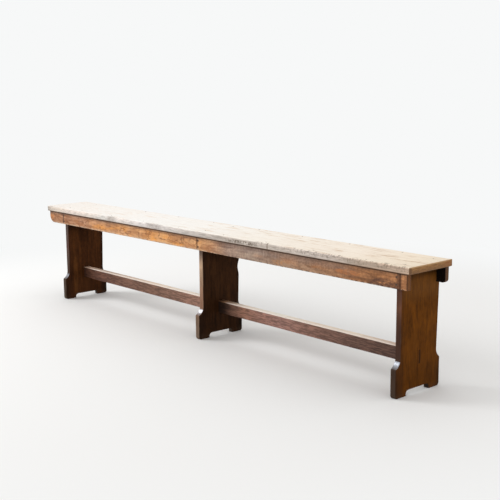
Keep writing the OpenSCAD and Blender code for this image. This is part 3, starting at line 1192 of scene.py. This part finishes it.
def apron_spots(wood, colour):
    """The few large spots and knots over a colour, each with its own tone."""
    ragged = wood.ease(wood.mottle((60, 90, 160), 3.0, 40.0, 0.6), 0.35, 0.55)
    for place_x, place_z, reach_x, reach_z, spot_tone in (
        (-1.116, 0.402, 0.020, 0.016, tone(186, 118, 66)),
        (-0.786, 0.412, 0.008, 0.005, tone(110, 66, 38)),
        (-0.060, 0.391, 0.026, 0.006, tone(120, 88, 64)),
        (0.530, 0.389, 0.05, 0.010, tone(178, 128, 86)),
        (0.870, 0.400, 0.07, 0.012, tone(176, 112, 68)),
        (1.030, 0.384, 0.075, 0.022, tone(78, 52, 44)),
    ):
        spot = wood.spot((wood.x, wood.z), (place_x, place_z), (reach_x, reach_z))
        colour = wood.blend(wood.product(spot, ragged, 0.75), colour, spot_tone)
    return colour


def apron_ends(wood, colour, fibre, warm, inner_y):
    """End grain, and the hidden face painted near black as shade, over a colour."""
    ends = wood.product(wood.wear("edge"), wood.ease(wood.apart(wood.x), 1.125, 1.1285))
    grain = wood.blend(wood.ease(fibre, 0.4, 0.7), tone(124, 76, 34), tone(90, 52, 22))
    colour = wood.over(colour, (84, 56, 36), 1 - warm)
    grain = wood.over(grain, (62, 46, 28), 1 - warm)
    colour = wood.blend(ends, colour, grain)
    end_arris = wood.product(wood.wear("arris"), wood.ease(wood.x, 1.1235, 1.1265), 0.6)
    colour = wood.over(colour, (58, 34, 20), end_arris)
    inner_y *= MM
    # Painted shade: the hidden inner face, under the seat, is made near black.
    inner_face_shade = wood.ease(wood.apart(wood.y), inner_y + 0.0012, inner_y + 0.0002)
    face_only = wood.ease(wood.wear("edge"), 0.6, 0.2)
    return wood.over(colour, (14, 8, 5), inner_face_shade, face_only)


def apron_finish(name, warm, inner_y):
    """Varnished apron wood; warm is the share of the orange tones that is left, and the
    hidden face, nearer the middle than inner_y, is painted near black as shade."""
    wood = Finish(name)
    rings = wood.rings((wood.y, wood.z), (-0.15, 0.33), 0.010, 0.13, (1.6, 5.0, 5.0), 11.0)
    flame = wood.mottle((7, 20, 27), 2.5, 21.0, 0.5, 1.2)
    fibre = wood.mottle((18, 420, 420), 3.0, 4.0)
    cloud = wood.mottle((8, 12, 26), 2.0, 9.0)
    light, dark = apron_tones(wood, cloud)
    figure = wood.total(wood.product(rings, 0.2), wood.ease(flame, 0.36, 0.64, 0.75))
    colour = wood.blend(figure, light, dark)
    colour = apron_stains(wood, colour, cloud)
    colour = apron_grain(wood, colour, fibre)
    colour = apron_spots(wood, colour)
    colour = apron_wear(wood, colour, cloud)
    colour = apron_ends(wood, colour, fibre, warm, inner_y)
    height = wood.total(wood.product(fibre, 0.5), wood.product(rings, 0.2), wood.product(flame, 0.4))
    rough = wood.total(0.38, wood.product(cloud, 0.25))
    coat = {"Coat Weight": 0.06, "Coat Roughness": 0.3, "Specular IOR Level": 0.12}
    return wood.surface(colour, rough, height, 0.0004, **coat)


# %% Apron pieces
def make_apron(name, node, low, high, left_r, right_r, outer_y, finish):
    """One apron, with pockets for the nail heads on its outer face."""
    outer_is_upper = outer_y < 0
    corners = apron_outline(low, high, left_r, right_r)
    outline = with_columns(eased(corners, APRON_CORNER_R), line_columns())
    outline = divided(outline, lambda spot: APRON_EDGE_SPACING)
    apron = Board(-high.y, -low.y, from_front)
    lower, upper = apron.wall(outline, apron_arris(outer_is_upper), margins=(1.2, 3.5))
    heads = nail_heads(node + "_nails", 1, 1 if outer_y > 0 else -1)
    pockets = [apron.pocket(spot, outer_is_upper) for spot in heads]
    columns = []
    for u in line_columns():
        for row in range(1, LINE_ROWS):
            columns.append((u, low.z + (high.z - low.z) * row / LINE_ROWS))
    for ring, is_upper in ((lower, False), (upper, True)):
        if is_upper == outer_is_upper:
            apron.cap([ring] + pockets, is_upper, APRON_FACE_SPACING, columns)
        else:
            apron.cap([ring], is_upper, APRON_FACE_SPACING)
    apron.make(name, node, [finish], apron_shape(outer_y))
    print("nail heads in", name + ":", len(heads))


make_apron("front_apron_board", "front_apron", front_low, front_high, FRONT_CORNER_R, 0,
           front_low.y, apron_finish("front_apron_wood", 1.0, -front_high.y))
make_apron("back_apron_board", "back_apron", back_low, back_high, BACK_CORNER_R, BACK_CORNER_R,
           back_high.y, apron_finish("back_apron_wood", 0.4, back_low.y))

# %% [markdown]
# ## Legs
#
# Each leg is a wide board on end. A cove steps out to a foot on each side, and a
# flat arch between the feet leaves two soles. The upper corners are notched for the
# aprons. The half outline is drawn once from the arch up to the top and mirrored.
# A mortise goes through the middle. The centre leg has a long dent in its back
# edge, and each leg is finished apart, because they aged apart.

# %% Leg outline
# The outline's sizes are those that the boards were sawn to, in millimetres.
ARCH_H = 19.5
ARCH_FLOOR_W = 125.0
ARCH_ROUND_SHARE = 0.7
SOLE_R = 11.0
FOOT_Y = 119.0
NOSE_R = 8.0
COVE_R = 38.0
COVE_Z = 138.0
FRONT_WAIST_Y = 94.5
BACK_WAIST_Y = 100.0
FRONT_TOP_Y = 94.0
BACK_TOP_Y = 109.0
TENON_T = 12.0
FIT_GAP = 0.15
DENT_Z = 283.0
DENT_HALF = 36.0
DENT_DEPTH = 6.5
LEG_CORNER_R = 1.5
LEG_EDGE_SPACING = 8.0
LEG_FACE_SPACING = 11.0
CRISP_FROM_Z = 370.0
CRISP_R = 0.7


def half_leg(top_z, notch_z, notch_y, top_y, waist_y):
    """One half of a leg, from the middle of the arch up to the middle of the top."""
    arch_r = ARCH_ROUND_SHARE * ARCH_H
    nose_y = FOOT_Y - NOSE_R
    cove_y = waist_y + COVE_R
    nose_z = COVE_Z - math.sqrt((COVE_R + NOSE_R) ** 2 - (cove_y - nose_y) ** 2)
    touch = math.degrees(math.atan2(COVE_Z - nose_z, cove_y - nose_y))
    edge_y = waist_y + (top_y - waist_y) * (notch_z - COVE_Z) / (top_z - COVE_Z)
    half = [Vector((0, ARCH_H))]
    half += arc((ARCH_FLOOR_W / 2 - arch_r, ARCH_H - arch_r), arch_r, 90, 0, 6)
    half.append(Vector((ARCH_FLOOR_W / 2, 0)))
    half += arc((FOOT_Y - SOLE_R, SOLE_R), SOLE_R, -90, 0, 7)
    half += arc((nose_y, nose_z), NOSE_R, 0, touch, 6)
    half += arc((cove_y, COVE_Z), COVE_R, 180 + touch, 180, 10)[1:]
    half += [Vector((edge_y, notch_z)), Vector((notch_y, notch_z))]
    half += [Vector((notch_y, top_z)), Vector((0, top_z))]
    return half


def leg_outline(top_z, notch_z):
    """A leg from its end, in Y and Z; its front and back edges differ."""
    front = half_leg(top_z, notch_z, -front_high.y, FRONT_TOP_Y, FRONT_WAIST_Y)
    back = half_leg(top_z, notch_z, back_low.y, BACK_TOP_Y, BACK_WAIST_Y)
    return back + [Vector((-point.x, point.y)) for point in reversed(front[1:-1])]


def leg_arris(here, way, upper):
    """Worn most at the feet and the coves, crisp at the top."""
    low_down = bell(here.y, 40, 160)
    waver = 0.7 + 0.7 * lump(Vector((0, here.x, here.y)), 30, 2.0 + upper)
    radius = (0.9 + low_down) * waver
    if here.y > CRISP_FROM_Z:
        radius = CRISP_R
    return radius, radius, 0.0


# %% Leg wear
def leg_shape(middle_x, dented):
    """Hollows of the plane, scuffed soles, and the centre leg's dent."""
    def shape(place, share):
        result = place.copy()
        towards = -1 if share > 0.5 else 1
        face = abs(2 * share - 1)
        result.x += towards * face * 0.45 * lump(place, 90, 3.0 + middle_x / 100)
        side = 1 if place.y > 0 else -1
        flank = max(0.0, (abs(place.y) - 60) / 50)
        result.y -= side * min(flank, 1.0) * 0.6 * lump(place, 45, 4.0 + middle_x / 90)
        if dented:
            dent = bell(place.z, DENT_Z, DENT_HALF) * max(0.0, min((place.y - 50) / 40, 1.0))
            result.y -= DENT_DEPTH * dent * (0.8 + 0.4 * lump(place, 12, 5.0))
        return result
    return shape


# %% [markdown]
# ## Leg finish
#
# The legs are stained almost black-brown and waxed. Seen in the shade under the
# seat their faces are darker than the front edges, which are rubbed lighter by
# heels and brooms and carry a painted sheen. Shade under the seat and aprons, by
# the back apron and under the arch is painted into the legs as well. Grain runs up
# the board. The right leg stands in the light and shows a warmer brown with fine
# upright streaks, and a little painted light near its top. One function makes all
# three with their own tones.


# %% Leg finish
LEG_SPAN = 0.43
# Each part of a leg: its name, its shine, its roughness and whether it was waxed.
LEG_PARTS = (("_face", 0.03, 0.5, 0.0), ("_edge", 0.12, 0.48, 0.0), ("_cove", 1.0, 0.32, 1.0))


def leg_face_tones(wood, streak, cloud, face_tones, pale_y, shade):
    """The stained face of a leg: mottled, with one paler streak, and dark low down, with painted
    shade under the seat, the aprons and by the back edge. shade is how much painted shade it gets
    under the aprons, and a leg with none gets a little painted light near its top."""
    fleck = wood.mottle((90, 110, 40), 3.0, 50.0, 0.6)
    figure = wood.total(
        wood.ease(streak, 0.34, 0.66, 0.45),
        wood.ease(cloud, 0.32, 0.68, 0.35),
        wood.ease(fleck, 0.35, 0.65, 0.25),
    )
    face = wood.blend(figure, face_tones[1], face_tones[0])
    pale = wood.spot((wood.y, wood.z), (pale_y, 0.11), (0.014, 0.14))
    face = wood.blend(wood.product(pale, wood.ease(cloud, 0.7, 0.3), 0.6), face, face_tones[2])
    # Painted shade darkens the top of the face under the seat and aprons, by shade, with a darker line
    # at the aprons' lower edge.
    face = wood.over(face, (30, 15, 7), wood.ease(wood.z, 0.31, 0.38), shade)
    face = wood.over(face, (24, 14, 8), wood.ease(wood.z, 0.366, 0.3725), shade, 0.7)
    face = wood.blend(wood.ease(wood.z, 0.30, 0.02, 0.35), face, face_tones[0])
    # Painted light: a leg without shade is made a little lighter near its top.
    in_open_light = 0.25 * max(0.0, 1 - 2 * shade)
    face = wood.over(face, (128, 88, 48), wood.ease(wood.z, 0.30, 0.37), in_open_light)
    # Painted shade right under the seat, a little more towards the back.
    seat_shade = wood.total(0.45, wood.ease(wood.y, 0.0, 0.07, 0.2))
    face = wood.over(face, (18, 6, 0), wood.ease(wood.z, 0.392, 0.415), seat_shade)
    brow = wood.ease(wood.y, -0.068, -0.092, 0.35)
    face = wood.over(face, (40, 24, 18), brow)
    # Painted shade along the back edge, next to the back apron, by shade.
    face = wood.over(face, (24, 14, 9), wood.ease(wood.y, 0.080, 0.098), shade, 0.7)
    # Darker along the outer edges of the feet, near the floor.
    foot_rim = wood.ease(wood.apart(wood.y), 0.088, 0.116)
    foot_rim_dark = wood.product(foot_rim, wood.ease(wood.z, 0.13, 0.04), 0.55)
    return wood.over(face, (26, 17, 12), foot_rim_dark)


def leg_finish(name, seed, face_tones, edge_rub_and_sheen_stops, rubbed_tone, pale_y, shade, polish):
    """Stained leg wood with upright grain: a finish for the faces, one for the edges and
    one for the coves, which feet have polished. face_tones are dark, light and streak.
    polish is how much wax the coves have. The edge stops are rubbed lighter and hold painted sheen."""
    finishes = []
    for part, shine, base_rough, wax in LEG_PARTS:
        wood = Finish(name + part)
        rings = wood.rings((wood.x, wood.y), (0.05 * seed, -0.03), 0.009, 0.05, (4.0, 4.0, 1.0), seed)
        fibre = wood.mottle((420, 420, 14), 3.0, seed + 2)
        streak = wood.mottle((40, 105, 9), 4.0, seed + 5, 0.62)
        cloud = wood.mottle((9, 16, 11), 3.0, seed + 9)
        face = leg_face_tones(wood, streak, cloud, face_tones, pale_y, shade)
        # The edge tones up the leg are rubbed lighter and hold a painted sheen.
        edge = wood.ramp(wood.calc("DIVIDE", wood.z, LEG_SPAN), edge_rub_and_sheen_stops)
        edge_noise = wood.total(wood.product(streak, 0.5), wood.product(cloud, 0.5))
        edge = wood.scaled(edge, wood.total(1.25, wood.ease(edge_noise, 0.36, 0.64, -0.5)))
        # Painted shade under the arch between the feet.
        arch_shade = wood.ease(wood.apart(wood.y), 0.078, 0.064)
        arch_shade = wood.product(arch_shade, wood.ease(wood.z, 0.032, 0.022), 0.8)
        edge = wood.over(edge, (30, 18, 11), arch_shade)
        colour = wood.blend(wood.wear("edge"), face, edge)
        colour = wood.over(colour, (20, 11, 7), wood.ease(fibre, 0.5, 0.75), 0.2)
        front_arris = wood.product(wood.wear("arris"), wood.ease(wood.y, 0.0, -0.08))
        rub = wood.product(front_arris, wood.ease(cloud, 0.45, 0.62), 0.4)
        colour = wood.blend(rub, colour, rubbed_tone)
        dust = wood.product(wood.ease(wood.z, 0.03, 0.0), wood.ease(streak, 0.3, 0.7), 0.3)
        colour = wood.over(colour, (96, 78, 62), dust)
        figure = wood.total(wood.product(streak, 0.5), wood.product(rings, 0.15))
        height = wood.total(wood.product(fibre, 0.5), figure)
        rough = wood.total(base_rough, wood.product(cloud, 0.1))
        gloss = {"Specular IOR Level": shine, "Coat Weight": wax * polish}
        gloss |= {"Coat Roughness": 0.25, "Coat IOR": 1.9}
        if wax:
            gloss |= {"IOR": 1.5 + polish, "Specular Tint": (0.80, 0.87, 1.0, 1.0)}
        finishes.append(wood.surface(colour, rough, height, 0.0003, **gloss))
    return finishes


def leg_part(on_edge, spot):
    """The finish at a place on a leg: 0 on a face, 1 on an edge, 2 in a cove."""
    if on_edge < 0.4:
        return 0
    on_cove = abs(spot.y) > 80 and COVE_Z - 0.9 * COVE_R < spot.z < COVE_Z - 0.34 * COVE_R
    return 2 if on_cove else 1


leg_finishes = {
    "left_leg": leg_finish(
        "left_leg_wood", 3.0,
        (tone(50, 26, 12), tone(90, 52, 24), tone(112, 70, 34)),
        [(0.00, 64, 50, 38), (0.20, 62, 44, 31), (0.35, 60, 38, 27),
         (0.47, 68, 48, 37), (0.60, 84, 55, 47), (0.70, 74, 54, 46),
         (0.82, 76, 60, 53), (1.00, 56, 43, 37)],
        tone(112, 92, 80), pale_y=-0.060, shade=0.85, polish=0.15),
    "centre_leg": leg_finish(
        "centre_leg_wood", 5.0,
        (tone(35, 19, 9), tone(70, 42, 21), tone(94, 58, 30)),
        [(0.00, 108, 90, 76), (0.20, 110, 87, 70), (0.35, 130, 94, 74),
         (0.47, 142, 108, 86), (0.58, 166, 134, 108), (0.70, 182, 151, 123),
         (0.84, 98, 79, 69), (1.00, 80, 66, 58)],
        tone(160, 130, 106), pale_y=0.045, shade=0.5, polish=0.55),
    "right_leg": leg_finish(
        "right_leg_wood", 8.0,
        (tone(68, 36, 4), tone(115, 65, 9), tone(100, 58, 12)),
        [(0.00, 53, 39, 30), (0.20, 62, 45, 33), (0.35, 58, 36, 27),
         (0.60, 70, 42, 28), (0.72, 93, 59, 42), (0.84, 80, 49, 36),
         (1.00, 56, 36, 26)],
        tone(98, 74, 62), pale_y=-0.02, shade=0.0, polish=0.65),
}

# %% Leg pieces
stretcher_boxes = {name: box_mm(name) for name in ("left_stretcher", "right_stretcher")}
rail_low, rail_high = stretcher_boxes["right_stretcher"]
tenon_y = (rail_low.y + rail_high.y) / 2
wedge_low, wedge_high = box_mm("tenon_wedges")
WEDGE_T = 3.5
WEDGE_TIP_T = 1.5
MORTISE_CORNER_R = 0.5
MORTISE_SPACING = 9.0


def mortise_outline(with_wedge):
    """The hole for a tenon, and its wedge where there is one, seen along X."""
    low_y = tenon_y - TENON_T / 2 - FIT_GAP
    high_y = tenon_y + TENON_T / 2 + FIT_GAP
    if with_wedge:
        high_y += WEDGE_T + FIT_GAP
    low_z = wedge_low.z - FIT_GAP
    high_z = wedge_high.z + FIT_GAP
    corners = [(low_y, low_z), (low_y, high_z), (high_y, high_z), (high_y, low_z)]
    return drawn(corners, MORTISE_CORNER_R, MORTISE_SPACING)


for node, (low, high) in leg_boxes.items():
    outline = drawn(leg_outline(high.z, front_low.z), LEG_CORNER_R, LEG_EDGE_SPACING)
    leg = Board(low.x, high.x, from_right_end)
    lower, upper = leg.wall(outline, leg_arris, margins=(1.2, 3.2))
    hole = mortise_outline(node != "centre_leg")
    hole_lower, hole_upper = leg.wall(hole, hidden_arris, margins=())
    leg.cap([lower, hole_lower], False, LEG_FACE_SPACING)
    leg.cap([upper, hole_upper], True, LEG_FACE_SPACING)
    middle_x = (low.x + high.x) / 2
    leg.make(node + "_board", node, leg_finishes[node],
             leg_shape(middle_x, node == "centre_leg"), leg_part)

# %% [markdown]
# ## Stretchers
#
# A stretcher is a rail on edge between two legs, with a tenon at each end. Heels
# rested on its top front arris and wore it to a pale slope that is deepest along
# the middle and dies out near the legs. The outline is drawn in plan, tenons and
# all, and the arris sizes carry the wear. The tenons are squeezed down a little so
# that they pass through their mortises.

# %% Stretcher shapes
# The slope on the top front arris, how it starts near a leg, and how it grows.
WORN_H = 3.5
WORN_D = 8.0
UNWORN_H = 1.2
UNWORN_D = 1.5
WORN_FROM = 15.0
WORN_EASE = 130.0
SLOPE_FLATNESS = 0.65
TENON_R = 0.4
RAIL_CORNER_R = 0.6
RAIL_SPACING = 9.0
SHOULDER_SLACK = 0.2
leg_faces = {
    "left_stretcher": (leg_boxes["left_leg"][1].x, leg_boxes["centre_leg"][0].x),
    "right_stretcher": (leg_boxes["centre_leg"][1].x, leg_boxes["right_leg"][0].x),
}


def stretcher_outline(low, high, from_x, to_x):
    """A stretcher and its two tenons in plan."""
    middle_y = (low.y + high.y) / 2
    front_y = middle_y - TENON_T / 2
    back_y = middle_y + TENON_T / 2
    return [
        (low.x, front_y), (from_x, front_y), (from_x, low.y),
        (to_x, low.y), (to_x, front_y), (high.x, front_y),
        (high.x, back_y), (to_x, back_y), (to_x, high.y),
        (from_x, high.y), (from_x, back_y), (low.x, back_y),
    ]


def stretcher_arris(from_x, to_x):
    """The worn slope on the top front arris, and eased arrises elsewhere."""
    def sizes(here, way, upper):
        if not from_x + 1 < here.x < to_x - 1:
            return TENON_R, TENON_R, 0.0
        waver = lump(Vector((here.x, here.y, 0)), 40, 6.0)
        front = way.y / way.length > 0.7
        if upper and front:
            away = min(here.x - from_x, to_x - here.x)
            worn = max(0.0, min((away - WORN_FROM) / WORN_EASE, 1.0))
            depth = UNWORN_D + (WORN_D - UNWORN_D) * worn * (0.85 + 0.4 * waver)
            drop = UNWORN_H + (WORN_H - UNWORN_H) * worn * (0.75 + 0.5 * waver)
            return depth, drop, SLOPE_FLATNESS
        radius = 1.0 + 1.2 * waver
        return radius, radius, 0.0
    return sizes


def stretcher_shape(low, high, from_x, to_x):
    """Squeezes the tenons and wavers the faces."""
    middle_z = (low.z + high.z) / 2
    tenon_share = (wedge_high.z - wedge_low.z) / (high.z - low.z)

    def shape(place, share):
        result = place.copy()
        if not from_x + 0.5 < place.x < to_x - 0.5:
            result.z = middle_z + (place.z - middle_z) * tenon_share
            return result
        side = 1 if place.y > (low.y + high.y) / 2 else -1
        result.y -= side * (0.5 * lump(place, 110, 2.0) + 0.3 * lump(place, 24, 3.0))
        result.z -= share * 0.7 * lump(place, 140, 4.0)
        result.z += (1 - share) * 0.6 * lump(place, 140, 5.0)
        return result
    return shape


def stretcher_part(from_x, to_x):
    """Tells a rail, 0, from its tenons, 1, by the place along it."""
    def choose(on_edge, spot):
        return 0 if from_x - SHOULDER_SLACK < spot.x < to_x + SHOULDER_SLACK else 1
    return choose


# %% [markdown]
# ## Stretcher finish
#
# The front of a stretcher is dusty red-brown with pale streaks along the grain,
# where brooms and shoes scratched the stain. The worn slope on top is bare wood,
# rubbed smooth, with a painted highlight along its arris. The leg on the left of
# each stretcher throws shade over its first stretch, and that shade is painted into
# the front and the top. The tenons were stained with the legs, so they take the
# leg's tone, and the joint beside the wedge is a black line.

# %% Stretcher finish
def stretcher_finish(name, seed, front_stops_with_shade, top_stops_with_shade, from_x, to_x):
    """Stained, scratched, rubbed stretcher wood with painted shade and highlight. Stops run leg to leg.
    """
    wood = Finish(name)
    rings = wood.rings((wood.y, wood.z), (0.06, 0.05), 0.004, 0.03, (1.2, 5.0, 5.0), seed)
    fleck = wood.mottle((30, 300, 300), 4.0, seed + 3, 0.7)
    fibre = wood.mottle((60, 600, 600), 2.0, seed + 6)
    cloud = wood.mottle((7, 18, 18), 3.0, seed + 8)
    from_left = wood.calc("SUBTRACT", wood.x, from_x * MM)
    from_right = wood.calc("SUBTRACT", to_x * MM, wood.x)
    from_leg = wood.calc("MINIMUM", from_left, from_right)
    shift = wood.sway(cloud, 0.06)
    along = wood.total(wood.calc("DIVIDE", from_left, (to_x - from_x) * MM), shift)
    # The front stops run dark next to a leg: painted shade from the leg.
    front = wood.ramp(along, front_stops_with_shade)
    factor = wood.total(1.5, wood.ease(fleck, 0.38, 0.6, -0.85), wood.product(rings, -0.12))
    colour = wood.scaled(front, factor)
    worn = wood.ease(from_leg, 0.03, 0.09)
    # The top stops also run dark next to a leg: painted shade.
    bare = wood.ramp(along, top_stops_with_shade)
    bare = wood.scaled(bare, wood.total(1.06, wood.ease(fleck, 0.3, 0.7, -0.14)))
    on_top = wood.ease(wood.z, 0.1468, 0.1486)
    colour = wood.blend(wood.product(on_top, 0.95), colour, bare)
    # The worn top arris is bare rubbed wood; its near white tone is also a painted highlight.
    polish_and_highlight = wood.product(wood.wear("arris"), on_top, worn, 0.7)
    colour = wood.over(colour, (255, 242, 232), polish_and_highlight)
    height = wood.total(wood.product(fleck, 0.8), wood.product(fibre, 0.4), wood.product(rings, 0.2))
    rough = wood.total(0.5, wood.product(fleck, 0.2), wood.product(on_top, -0.2))
    return wood.surface(colour, rough, height, 0.0004, **{"Specular IOR Level": 0.2})


def tenon_finish():
    """The end grain of the tenons, with the joint beside the wedge black with dirt."""
    wood = Finish("tenon_wood")
    grain = wood.mottle((300, 300, 300), 3.0, 4.0)
    colour = wood.blend(wood.ease(grain, 0.35, 0.65), tone(92, 52, 16), tone(70, 40, 12))
    joint = wood.ease(wood.y, 0.0046, 0.0056)
    colour = wood.over(colour, (14, 7, 3), joint, 0.95)
    return wood.surface(colour, 0.6, grain, 0.0002, **{"Specular IOR Level": 0.03})


# %% Stretcher pieces
tenon_wood = tenon_finish()
# The stops of each stretcher start dark at the leg on its left, and the right one darkens again at the
# right leg: painted shade.
stretcher_tones = {
    "left_stretcher": (
        31.0,
        [(0.00, 56, 34, 24), (0.05, 84, 54, 40), (0.18, 98, 65, 52),
         (0.40, 113, 81, 66), (0.60, 112, 82, 67), (0.80, 134, 100, 84),
         (1.00, 134, 99, 85)],
        [(0.00, 150, 120, 100), (0.04, 226, 194, 172), (0.18, 178, 148, 122),
         (0.38, 214, 185, 162), (0.57, 240, 214, 186), (0.77, 255, 240, 220),
         (1.00, 255, 240, 220)],
    ),
    "right_stretcher": (
        37.0,
        [(0.00, 34, 20, 12), (0.03, 48, 30, 20), (0.08, 104, 74, 60),
         (0.16, 128, 91, 74), (0.35, 146, 109, 98), (0.55, 124, 91, 78),
         (0.75, 100, 73, 62), (1.00, 78, 55, 46)],
        [(0.00, 76, 52, 34), (0.03, 144, 106, 76), (0.14, 242, 222, 200),
         (0.33, 255, 250, 234), (0.53, 248, 228, 206), (0.73, 255, 238, 214),
         (0.92, 226, 196, 172), (1.00, 134, 106, 88)],
    ),
}
for node, (low, high) in stretcher_boxes.items():
    from_x, to_x = leg_faces[node]
    seed, front_stops_with_shade, top_stops_with_shade = stretcher_tones[node]
    corners = stretcher_outline(low, high, from_x, to_x)
    outline = drawn(corners, RAIL_CORNER_R, RAIL_SPACING, 2)
    rail = Board(low.z, high.z, from_above)
    lower, upper = rail.wall(outline, stretcher_arris(from_x, to_x), margins=(1.0,), side_rings=5)
    rail.cap([lower], False, RAIL_SPACING)
    rail.cap([upper], True, RAIL_SPACING)
    rail_wood = stretcher_finish(node + "_wood", seed, front_stops_with_shade, top_stops_with_shade, from_x, to_x)
    rail.make(node + "_rail", node, [rail_wood, tenon_wood],
              stretcher_shape(low, high, from_x, to_x), stretcher_part(from_x, to_x))

# %% [markdown]
# ## Wedges and nails
#
# A wedge driven in behind each through tenon locks it. Only its end grain shows, on
# the outside of each outer leg, beside the dark line of the joint. The nails are
# cut from iron plate: square-headed, punched just under the wood, and dulled by
# rust and floor wax. Their nodes in the frame already have the right shape, so
# they only get a finish.

# %% Wedges
WEDGE_CORNER_R = 0.3
WEDGE_SPACING = 5.0
wedge_wood = Finish("wedge_wood")
wedge_grain = wedge_wood.mottle((900, 500, 60), 2.0, 4.0)
wedge_colour = wedge_wood.blend(wedge_grain, tone(56, 32, 12), tone(80, 46, 16))
wedge_finish = wedge_wood.surface(wedge_colour, 0.7, wedge_grain, 0.0003, **{"Specular IOR Level": 0.05})

wedge_base_y = tenon_y + TENON_T / 2 + FIT_GAP
for name, node, outward in (("left_wedge", "left_leg", -1), ("right_wedge", "right_leg", 1)):
    low, high = leg_boxes[node]
    outer_x = high.x if outward > 0 else low.x
    inner_x = low.x if outward > 0 else high.x
    corners = [(inner_x, wedge_base_y), (outer_x, wedge_base_y),
               (outer_x, wedge_base_y + WEDGE_T), (inner_x, wedge_base_y + WEDGE_TIP_T)]
    if outward < 0:
        corners.reverse()
    outline = drawn(corners, WEDGE_CORNER_R, WEDGE_SPACING)
    wedge = Board(wedge_low.z, wedge_high.z, from_above)
    lower, upper = wedge.wall(outline, hidden_arris, margins=())
    wedge.cap([lower], False, WEDGE_SPACING)
    wedge.cap([upper], True, WEDGE_SPACING)
    wedge.make(name, "tenon_wedges", [wedge_finish], lambda place, share: place)

# %% Nails
iron = Finish("nail_iron")
rust = iron.mottle((260, 260, 260), 4.0, 2.0, 0.7)
iron_colour = iron.blend(iron.ease(rust, 0.4, 0.65), tone(70, 62, 56), tone(104, 72, 50))
iron_rough = iron.total(0.5, iron.product(rust, 0.3))
iron_finish = iron.surface(iron_colour, iron_rough, rust, 0.0004, Metallic=0.6)
for node in ("seat_nails", "front_apron_nails", "back_apron_nails"):
    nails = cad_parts[node]
    nails.data.materials.clear()
    nails.data.materials.append(iron_finish)
    print("iron on", node)
